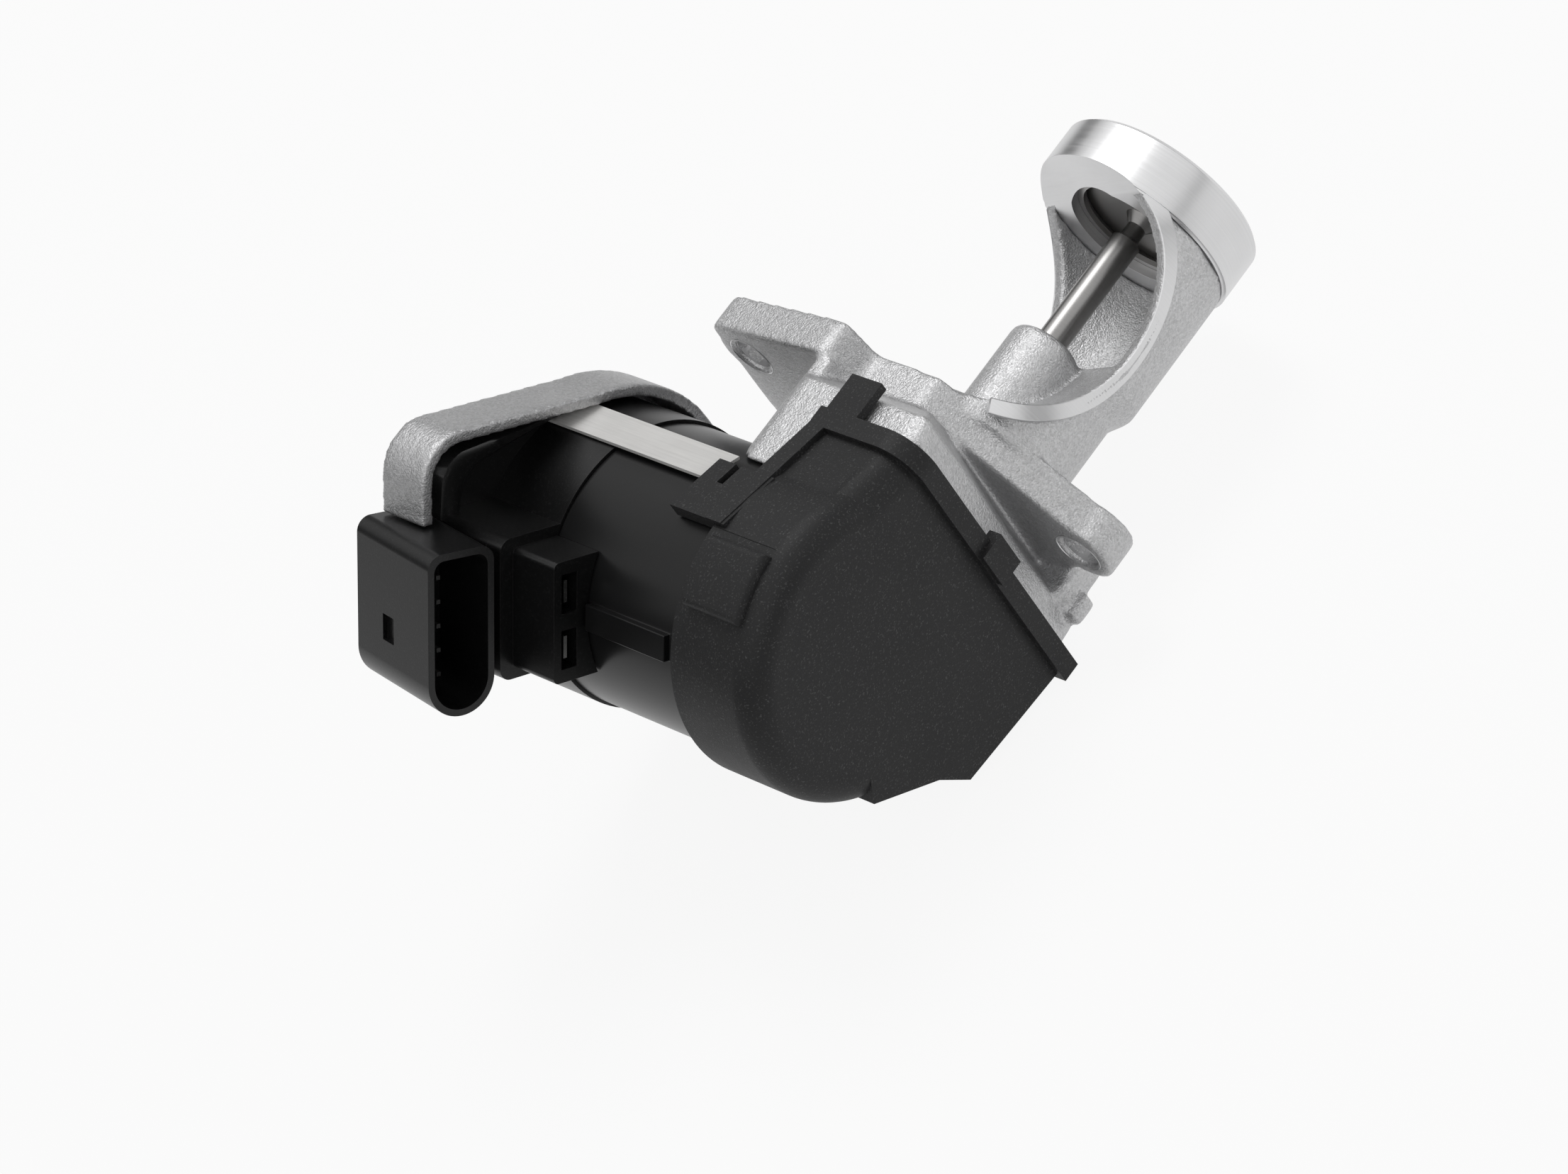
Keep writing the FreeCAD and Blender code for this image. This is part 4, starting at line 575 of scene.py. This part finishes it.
def closed_surface(name: str, grid: np.ndarray, finish: Finish, caps: bool = False) -> Piece:
    """Make a closed mesh from a grid of points.

    The grid's second direction always closes on itself. Its first direction closes too, or ends in
    two flat caps. The faces are turned outwards by the sign of the volume, which is a sixth of the
    sum of the triple products of each triangle's corners.

    Args:
        name: the piece's name.
        grid: points in metres, rows by columns by three.
        finish: the piece's finish.
        caps: close the first direction with caps.

    Returns:
        The new piece at the origin.
    """
    rows, columns = grid.shape[:2]
    points = grid.reshape(-1, 3)
    number = np.arange(rows * columns).reshape(rows, columns)
    below = number[:-1] if caps else number
    above = number[1:] if caps else np.roll(number, -1, axis=0)
    quads = np.stack([below, np.roll(below, -1, axis=1), np.roll(above, -1, axis=1), above],
                     axis=-1).reshape(-1, 4)
    ends = np.array([number[0, ::-1], number[-1]]) if caps else np.empty((0, columns), int)
    fans = [np.stack([np.broadcast_to(ring[:, :1], ring[:, 2:].shape), ring[:, 1:-1], ring[:, 2:]],
                     axis=-1) for ring in (quads, ends)]
    corners = points[np.concatenate([fan.reshape(-1, 3) for fan in fans])]
    volume = np.einsum("ij,ij->", corners[:, 0], np.cross(corners[:, 1], corners[:, 2]))
    turn = slice(None, None, -1 if volume < 0 else 1)
    mesh = bpy.data.meshes.new(name)
    mesh.from_pydata(points.tolist(), [], quads[:, turn].tolist() + ends[:, turn].tolist())
    mesh.materials.append(finish.make())
    smooth_faces(mesh, SHARP_ANGLE)
    return add_object(name, mesh)


def turned(profile: Sequence[tuple[float, float]], centre: tuple[float, float],
           steps: int = 72) -> np.ndarray:
    """Turn a closed profile about a line along X.

    A point at angle a is (x, y0 + r sin a, z0 + r cos a).

    Args:
        profile: x and r of each corner in millimetres, in order round the section.
        centre: y and z of the line in millimetres.
        steps: points round the turn.

    Returns:
        The grid of points in metres.
    """
    section = np.array(profile)
    angle = np.linspace(0, 2 * np.pi, steps, endpoint=False)
    x = np.repeat(section[:, :1], steps, axis=1)
    y = centre[0] + section[:, 1:] * np.sin(angle)
    z = centre[1] + section[:, 1:] * np.cos(angle)
    return np.stack([x, y, z], axis=-1) * MM


def clean_mesh(mesh: bpy.types.Mesh, flatten: bool = False) -> None:
    """Sew a mesh's loose triangles together.

    Args:
        mesh: the mesh.
        flatten: also dissolve the edges inside flat faces.
    """
    work = bmesh.new()
    work.from_mesh(mesh)
    bmesh.ops.remove_doubles(work, verts=work.verts, dist=SEW_DISTANCE)
    if flatten:
        bmesh.ops.dissolve_limit(work, angle_limit=math.radians(FLAT_ANGLE), verts=work.verts,
                                 edges=work.edges, delimit={"NORMAL"})
    work.to_mesh(mesh)
    work.free()


def clean_copy(node: str, finish: Finish) -> Piece:
    """Copy a node's mesh, sewn together and with one finish.

    Args:
        node: the node's name.
        finish: the finish.

    Returns:
        The copy.
    """
    mesh = frame["nodes"][node].data.copy()
    clean_mesh(mesh)
    mesh.materials.clear()
    mesh.materials.append(finish.make())
    mesh.polygons.foreach_set("material_index", np.zeros(len(mesh.polygons), np.int32))
    return add_object(node + "_copy", mesh)


def fix_modifiers(piece: Piece) -> None:
    """Turn what the modifiers make into the piece's own mesh.

    Args:
        piece: the piece.
    """
    finished = piece.evaluated_get(bpy.context.evaluated_depsgraph_get())
    mesh = bpy.data.meshes.new_from_object(finished)
    piece.modifiers.clear()
    piece.data = mesh


# Pieces taken over from the frame

@dataclass
class NodePiece:
    """One or more touching nodes shown as one piece."""

    nodes: tuple[str, ...]
    slot: str
    finish: Finish

    def joined(self) -> Piece:
        """Copy the nodes and join the copies into one closed mesh.

        Returns:
            The joined copy.
        """
        piece, *others = [clean_copy(name, self.finish) for name in self.nodes]
        for number, other in enumerate(others):
            join = piece.modifiers.new(f"join_{number}", "BOOLEAN")
            join.operation = "UNION"
            join.solver = "EXACT"
            join.object = other
        fix_modifiers(piece)
        for other in others:
            bpy.data.objects.remove(other)
        return piece

    def hand_over(self, piece: Piece, ending: str = "_soft") -> Piece:
        """Name a piece after its first node and let it stand for all its nodes.

        Args:
            piece: the piece.
            ending: end of the piece's name.

        Returns:
            The same piece.
        """
        first = self.nodes[0]
        piece.name = piece.data.name = first + ending
        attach(piece, frame["nodes"][first]["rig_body"])
        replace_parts(piece, *self.nodes)
        return piece


@dataclass
class SoftPiece(NodePiece):
    """Turned or moulded nodes whose sharp edges are rounded.

    The width of the rounding is in metres, and edges over the angle in degrees get it.
    """

    width: float
    angle: float = 32.0
    segments: int = 2
    sharp: float = 38.0
    face_weight: int = 80

    def build(self) -> Piece:
        """Copy the nodes, join them, clean the mesh and round its edges.

        Returns:
            The new piece, which stands for the nodes.
        """
        piece = self.joined()
        clean_mesh(piece.data, flatten=True)
        bevel = piece.modifiers.new("edge_rounding", "BEVEL")
        bevel.width = self.width
        bevel.segments = self.segments
        bevel.limit_method = "ANGLE"
        bevel.angle_limit = math.radians(self.angle)
        bevel.use_clamp_overlap = True
        bevel.loop_slide = True
        fix_modifiers(piece)
        smooth_faces(piece.data, self.sharp)
        level = piece.modifiers.new("flat_faces", "WEIGHTED_NORMAL")
        level.keep_sharp = True
        level.weight = self.face_weight
        return self.hand_over(piece)


@dataclass
class SandPiece(NodePiece):
    """Cast nodes drawn as a casting is: every corner and inner corner runs out softly.

    The grid is the size of its cells in metres.
    """

    grid: float
    passes: int = 6
    factor: float = 0.5

    def build(self) -> Piece:
        """Rebuild the nodes' surface on a fine grid and relax it.

        Returns:
            The new piece, which stands for the nodes.
        """
        piece = self.joined()
        remesh = piece.modifiers.new("fine_grid", "REMESH")
        remesh.mode = "VOXEL"
        remesh.voxel_size = self.grid
        relax = piece.modifiers.new("soft_corners", "SMOOTH")
        relax.factor = self.factor
        relax.iterations = self.passes
        fix_modifiers(piece)
        piece.data.materials.clear()
        piece.data.materials.append(self.finish.make())
        smooth_faces(piece.data)
        return self.hand_over(piece)


@dataclass
class SqueezedSpring(NodePiece):
    """The return spring, copied whole with smooth shading."""

    keep: float = 0.66
    sharp: float = 50.0

    def build(self) -> Piece:
        """Copy the spring and shade it smoothly.

        Returns:
            The new piece, which stands for the spring.
        """
        piece = clean_copy(self.nodes[0], self.finish)
        smooth_faces(piece.data, self.sharp)
        self.hand_over(piece, "_coil")
        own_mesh(piece)
        return piece


# Sub-assemblies

@dataclass
class Casting:
    """The cast housing with its pipe, the turned end ring and the rear bracket.

    Sizes are in millimetres and degrees, except the grids and the ring's edge, which are in metres.
    A corner of a band's section is its distance from the window's line and from the pipe's axis. A
    band's side is its name, its sign of h and the angle where it starts. An ear is the name, y and
    z of a screw hole.
    """

    bracket_grid: float = 0.0005
    housing_grid: float = 0.0006
    ring_edge: float = 0.0003
    window_x: float = 26.0
    window_g: float = 19.6
    window_turn: float = 24.8
    band_section: tuple[tuple[float, float], ...] = (
        (26.25, 20.78), (28.9, 20.78), (29.0, 20.68), (29.1, 20.08), (26.35, 20.08), (26.1, 20.63))
    band_sides: tuple[tuple[str, float, float], ...] = (
        ("rear", 1.0, -146.0), ("front", -1.0, -158.0))
    band_last: float = -22.0
    band_steps: int = 90
    least_h: float = 0.02
    ears: tuple[tuple[str, float, float], ...] = (
        ("front", -24.3, -13.2), ("upper", 40.8, 19.4), ("lower", 38.0, -22.0))
    hole_r: float = 3.9
    flare_r: float = 4.8
    liner: float = 0.05
    flange_thick: float = 7.5

    def build(self) -> list[Piece]:
        """Build the castings and the turned ring.

        Returns:
            The pieces, which stand for nodes.
        """
        return [
            SandPiece(("valve_housing", "gas_pipe"), "cast_alloy", CAST, self.housing_grid).build(),
            SoftPiece(("end_ring",), "machined_alloy", MACHINED, self.ring_edge).build(),
            SandPiece(("rear_bracket",), "bracket_alloy", BRACKET_CAST, self.bracket_grid).build(),
        ]

    def machined_parts(self) -> list[Piece]:
        """Line the screw holes and lay the bands beside the window.

        Returns:
            The pieces.
        """
        made = self.ear_liners() + self.window_bands()
        for piece in made:
            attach(piece, "base")
        return made

    def ear_liners(self) -> list[Piece]:
        """Line each screw hole with its drilled wall and two countersunk rims.

        The section is a thin wall along the hole that flares out at both faces.

        Returns:
            One piece for each hole.
        """
        near, far = -self.flange_thick - self.liner, self.liner
        flare = self.flare_r - self.hole_r
        inside, outside = self.hole_r - self.liner, self.hole_r + self.liner
        profile = [(near, self.flare_r), (near + flare, inside), (far - flare, inside),
                   (far, self.flare_r), (far - self.liner, self.flare_r + self.liner),
                   (far - flare, outside), (near + flare, outside),
                   (near + self.liner, self.flare_r + self.liner)]
        return [closed_surface(f"ear_hole_{name}", turned(profile, (y, z)), MACHINED)
                for name, y, z in self.ears]

    def window_bands(self) -> list[Piece]:
        """Lay the machined bands beside the side window.

        The window is a cylinder across the pipe, whose line passes x0 and g0. At angle f round it
        the band's corner at distance p and height r is x = x0 + p cos f, g = g0 + p sin f and h =
        the root of r squared less g squared, where g and h are the pipe's own cross axes.

        Returns:
            One piece for each side of the window.
        """
        far, high = (np.array(self.band_section)[:, k] for k in range(2))
        lean = math.radians(self.window_turn)
        made = []
        for word, side, first in self.band_sides:
            angle = np.radians(np.linspace(first, self.band_last, self.band_steps))[:, None]
            x = self.window_x + far * np.cos(angle)
            g = self.window_g + far * np.sin(angle)
            h = side * np.sqrt(np.maximum(high ** 2 - g ** 2, self.least_h ** 2))
            y = g * math.sin(lean) + h * math.cos(lean)
            z = g * math.cos(lean) - h * math.sin(lean)
            grid = np.stack([x, y, z], axis=-1) * MM
            made.append(closed_surface(f"window_land_{word}", grid, MACHINED, caps=True))
        return made


@dataclass
class Mouldings:
    """The gear cover and the two halves of the motor's casing, with the edges in metres."""

    cover_edge: float = 0.0006
    shell_edge: float = 0.0004

    def build(self) -> list[Piece]:
        """Build the three mouldings.

        Returns:
            The pieces, which stand for nodes.
        """
        return [
            SoftPiece(("gear_cover",), "cover_plastic", COVER, self.cover_edge).build(),
            SoftPiece(("motor_front_shell",), "satin_black", SHELL, self.shell_edge).build(),
            SoftPiece(("motor_rear_housing",), "housing_plastic", REAR, self.shell_edge).build(),
        ]


@dataclass(frozen=True)
class MotorFrame:
    """Where the motor's axis lies, in millimetres, and how far its casing is turned, in degrees."""

    x: float = -49.0
    z: float = 10.0
    tilt: float = 39.0

    def points(self, u: np.ndarray | float, y: np.ndarray, n: np.ndarray | float) -> np.ndarray:
        """Turn places beside the motor's axis into points.

        With the tilt t, x = x0 + u cos t + n sin t and z = z0 - u sin t + n cos t.

        Args:
            u: distance across, in millimetres.
            y: distance along the axis, in millimetres.
            n: distance up, in millimetres.

        Returns:
            The points in metres.
        """
        tilt = math.radians(self.tilt)
        x = self.x + u * math.cos(tilt) + n * math.sin(tilt)
        z = self.z - u * math.sin(tilt) + n * math.cos(tilt)
        return np.stack(np.broadcast_arrays(x, y, z), axis=-1) * MM


@dataclass
class RearShield:
    """Black inner wall under the rear bracket's shoulder, with a raised lip along the arch.

    Sizes are in millimetres, where u goes across the motor's casing and n goes up. A corner of the
    section is its share of the way out from the drum, and its y.
    """

    motor: MotorFrame
    reach_u: float = -42.9
    foot_n: float = 14.6
    top_n: float = 28.2
    corner_r: float = 6.4
    drum_r: float = 27.0
    side_gap: float = 1.0
    top_gap: float = 2.0
    side_steps: int = 5
    corner_steps: int = 12
    top_steps: int = 20
    section: tuple[tuple[float, float], ...] = (
        (0.0, 55.4), (0.42, 55.4), (0.48, 53.2), (0.52, 52.9), (0.68, 52.9), (0.72, 53.2),
        (0.8, 55.6), (1.0, 55.8), (1.0, 57.3), (0.0, 57.3))

    def outer_line(self) -> np.ndarray:
        """Lay the outer line up the side, round the corner and along the top.

        Returns:
            Its points as rows of u and n in millimetres.
        """
        middle_u, middle_n = self.reach_u + self.corner_r, self.top_n - self.corner_r
        turn = np.radians(np.linspace(180, 90, self.corner_steps))
        u = np.concatenate([np.full(self.side_steps, self.reach_u),
                            middle_u + self.corner_r * np.cos(turn),
                            np.linspace(middle_u + self.top_gap, 0, self.top_steps)])
        n = np.concatenate([np.linspace(self.foot_n, middle_n - self.side_gap, self.side_steps),
                            middle_n + self.corner_r * np.sin(turn),
                            np.full(self.top_steps, self.top_n)])
        return np.stack([u, n], axis=-1)

    def build(self) -> Piece:
        """Build the wall.

        The inner line has the outer line's directions at the drum's radius. A point is the inner
        one plus a share of the way out.

        Returns:
            The piece.
        """
        outer = self.outer_line()[:, None]
        inner = self.drum_r * outer / np.linalg.norm(outer, axis=-1, keepdims=True)
        share, y = (np.array(self.section)[:, k] for k in range(2))
        flat = inner + (outer - inner) * share[None, :, None]
        grid = self.motor.points(flat[..., 0], y, flat[..., 1])
        wall = closed_surface("rear_shield", grid, REAR, caps=True)
        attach(wall, "base")
        return wall


@dataclass
class RearScrews:
    """Two screws with a six-lobed socket, which stand for the plain ones of the frame.

    A station is the y, the radius and the lobe's height of a ring, from the socket's floor over the
    head to the end of the shank, in millimetres.
    """

    motor: MotorFrame
    spots_u: tuple[float, float] = (-12.0, 12.0)
    spot_n: float = 17.0
    lobes: int = 6
    steps: int = 60
    stations: tuple[tuple[float, float, float], ...] = (
        (61.4, 0.05, 0.0), (61.4, 1.45, 0.26), (62.5, 1.5, 0.26), (62.7, 1.68, 0.22),
        (62.7, 2.7, 0.0), (62.58, 3.0, 0.0), (62.25, 3.2, 0.0), (60.5, 3.2, 0.0), (60.5, 1.6, 0.0),
        (55.8, 1.6, 0.0))

    def build(self) -> Piece:
        """Build both screws as one piece.

        Each ring's radius at angle a is its own radius plus its lobe's height times the cosine of a
        times the number of lobes.

        Returns:
            The piece.
        """
        angle = np.linspace(0, 2 * np.pi, self.steps, endpoint=False)
        y, radius, lobe = (np.array(self.stations)[:, k:k + 1] for k in range(3))
        ray = radius + lobe * np.cos(self.lobes * angle)
        ring = [ray * np.cos(angle), np.zeros_like(ray), ray * np.sin(angle)]
        rings = np.stack(ring, axis=-1) * MM
        grids = [rings + self.motor.points(u, y, self.spot_n) for u in self.spots_u]
        pair, other = (closed_surface(f"rear_screw_{number}", grid, PLATED, caps=True)
                       for number, grid in enumerate(grids))
        work = bmesh.new()
        work.from_mesh(pair.data)
        work.from_mesh(other.data)
        work.to_mesh(pair.data)
        work.free()
        bpy.data.objects.remove(other)
        pair.name = pair.data.name = "rear_screw_pair"
        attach(pair, "base")
        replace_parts(pair, "bracket_screws")
        return pair


# Stage, light and camera

@dataclass(frozen=True)
class Lamp:
    """A square soft lamp that points at the object.

    Its place is measured from the studio's aim along the camera's right, up and back. The place and
    the size are in metres, and the power is in watts.
    """

    name: str
    place: tuple[float, float, float]
    size: float
    power: float


@dataclass
class Studio:
    """Pale floor, soft lamps and the camera of the photograph.

    Lengths are in metres, except the camera's lens and sensor, which are in millimetres.
    """

    right: tuple[float, float, float] = (0.577, -0.6846, -0.4455)
    up: tuple[float, float, float] = (0.7663, 0.265, 0.5853)
    back: tuple[float, float, float] = (-0.2826, -0.679, 0.6775)
    eye: tuple[float, float, float] = (-0.3103, -0.6322, 0.6480)
    lens: float = 120.43
    sensor: float = 36.0
    clip: Span = (0.01, 20.0)
    aim: tuple[float, float, float] = (-0.02, 0.01, 0.01)
    lamps: tuple[Lamp, ...] = (
        Lamp("key_lamp", (-0.5, 1.4, 0.5), 0.7, 8.0),
        Lamp("side_lamp", (1.4, 0.5, 0.6), 0.6, 4.0),
        Lamp("front_lamp", (-0.4, -0.2, 1.8), 0.7, 3.0))
    sky: float = 0.35
    floor_half: float = 4.0
    floor_tone: float = 0.9
    floor_rough: float = 0.9
    floor_white: float = 0.9
    wall_r: float = 3.0
    wall_high: float = 1.3
    wall_tone: float = 0.12
    wall_rough: float = 1.0
    wall_steps: int = 48

    def axes(self) -> np.ndarray:
        """Give the camera's right, up and back directions as the columns of a true rotation."""
        left, _, rest = np.linalg.svd(np.array([self.right, self.up, self.back]).T)
        return left @ rest

    def camera(self) -> None:
        """Place the camera of the photograph."""
        data = bpy.data.cameras.new("photo_camera")
        data.sensor_fit = "HORIZONTAL"
        data.sensor_width = self.sensor
        data.lens = self.lens
        data.clip_start, data.clip_end = self.clip
        camera = bpy.data.objects.new("photo_camera", data)
        bpy.context.scene.collection.objects.link(camera)
        matrix = np.eye(4)
        matrix[:3, :3] = self.axes()
        matrix[:3, 3] = self.eye
        camera.matrix_world = Matrix(matrix.tolist())
        bpy.context.scene.camera = camera

    def light(self, lamp: Lamp) -> None:
        """Add a lamp that points at the object.

        Args:
            lamp: the lamp's facts.
        """
        data = bpy.data.lights.new(lamp.name, "AREA")
        data.size = lamp.size
        data.energy = lamp.power
        shown = bpy.data.objects.new(lamp.name, data)
        bpy.context.scene.collection.objects.link(shown)
        spot = np.array(self.aim) + self.axes() @ np.array(lamp.place)
        shown.location = spot
        shown.rotation_euler = Vector(self.aim - spot).to_track_quat("-Z", "Y").to_euler()

    def backdrop(self, name: str, points: np.ndarray, faces: np.ndarray, paint: str,
                 tone: float, roughness: float) -> Piece:
        """Add a plain matt surface to the stage.

        Args:
            name: the surface's name.
            points: its corners in metres.
            faces: its faces as rows of corner numbers.
            paint: its material's name.
            tone: its grey.
            roughness: its roughness.

        Returns:
            The surface.
        """
        mesh = bpy.data.meshes.new(name)
        mesh.from_pydata(points.tolist(), [], faces.tolist())
        material = bpy.data.materials.new(paint)
        material.use_nodes = True
        shader = material.node_tree.nodes["Principled BSDF"]
        shader.inputs["Base Color"].default_value = (tone, tone, tone, 1)
        shader.inputs["Roughness"].default_value = roughness
        shader.inputs["Specular IOR Level"].default_value = 0.0
        mesh.materials.append(material)
        surface = add_object(name, mesh)
        surface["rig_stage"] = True
        return surface

    def floor(self, level: float) -> None:
        """Lay a large pale floor that stays white to the camera except for the shadow.

        Args:
            level: height of the floor in metres.
        """
        half = self.floor_half
        corners = np.array([[-half, -half, level], [half, -half, level], [half, half, level],
                            [-half, half, level]])
        floor = self.backdrop("floor", corners, np.arange(4)[None], "pale_floor",
                              self.floor_tone, self.floor_rough)
        tree = floor.data.materials[0].node_tree
        glow = tree.nodes.new("ShaderNodeEmission")
        glow.inputs["Color"].default_value = WHITE
        glow.inputs["Strength"].default_value = 1.0
        blend = tree.nodes.new("ShaderNodeMixShader")
        share = math_node(tree, "MULTIPLY", shows_background(tree), self.floor_white)
        tree.links.new(share, blend.inputs[0])
        tree.links.new(tree.nodes["Principled BSDF"].outputs[0], blend.inputs[1])
        tree.links.new(glow.outputs[0], blend.inputs[2])
        tree.links.new(blend.outputs[0], tree.nodes["Material Output"].inputs["Surface"])

    def horizon(self, level: float) -> None:
        """Stand a dark wall round the stage, which only reflections see.

        It is a band of a cylinder: x = r cos a, y = r sin a, with z from the floor to its top.

        Args:
            level: height of the floor in metres.
        """
        count = self.wall_steps
        angle = np.linspace(0, 2 * np.pi, count, endpoint=False)
        ring = np.stack([np.cos(angle), np.sin(angle)], axis=-1) * self.wall_r
        low, high = (np.hstack([ring, np.full((count, 1), z)]) for z in (level, self.wall_high))
        number = np.arange(count)
        nexts = np.roll(number, -1)
        faces = np.stack([nexts, number, number + count, nexts + count], axis=-1)
        wall = self.backdrop("dark_wall", np.vstack([low, high]), faces, "dark_cloth",
                             self.wall_tone, self.wall_rough)
        wall.visible_camera = False
        wall.visible_diffuse = False
        wall.visible_shadow = False
        wall.visible_transmission = False

    def world(self) -> None:
        """Set a plain pale world that shows white behind the object."""
        world = bpy.data.worlds.new("pale_world")
        world.use_nodes = True
        tree = world.node_tree
        back = tree.nodes["Background"]
        back.inputs["Color"].default_value = WHITE
        strength = remap(tree, shows_background(tree), UNIT_SPAN, (self.sky, 1.0))
        tree.links.new(strength, back.inputs["Strength"])
        bpy.context.scene.world = world

    def build(self, level: float) -> None:
        """Set up the studio.

        Args:
            level: height of the floor in metres.
        """
        self.world()
        self.floor(level)
        self.horizon(level)
        for lamp in self.lamps:
            self.light(lamp)
        self.camera()
        bpy.context.scene.view_settings.view_transform = "Standard"


def box_of_scene() -> list[list[float]]:
    """Give the shown object's lowest and highest corners as plain lists."""
    low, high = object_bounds()
    return [list(map(float, low)), list(map(float, high))]


def main() -> None:
    """Dress the frame, add the detail pieces and set the stage."""
    logging.basicConfig(level=logging.INFO, format="%(message)s")
    cad_box = box_of_scene()
    casting, motor = Casting(), MotorFrame()
    spring = SqueezedSpring(("return_spring",), "spring_steel", SPRING)
    pieces = [*casting.build(), *Mouldings().build(), RearScrews(motor).build(), spring.build()]
    dress_nodes(name for piece in pieces for name in piece["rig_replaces"])
    pieces += [*casting.machined_parts(), RearShield(motor).build()]
    for piece in pieces:
        LOG.info("%s: %d faces", piece.name, len(piece.data.polygons))
    Studio().build(cad_box[0][2] - FLOOR_GAP)


if __name__ == "__main__":
    main()
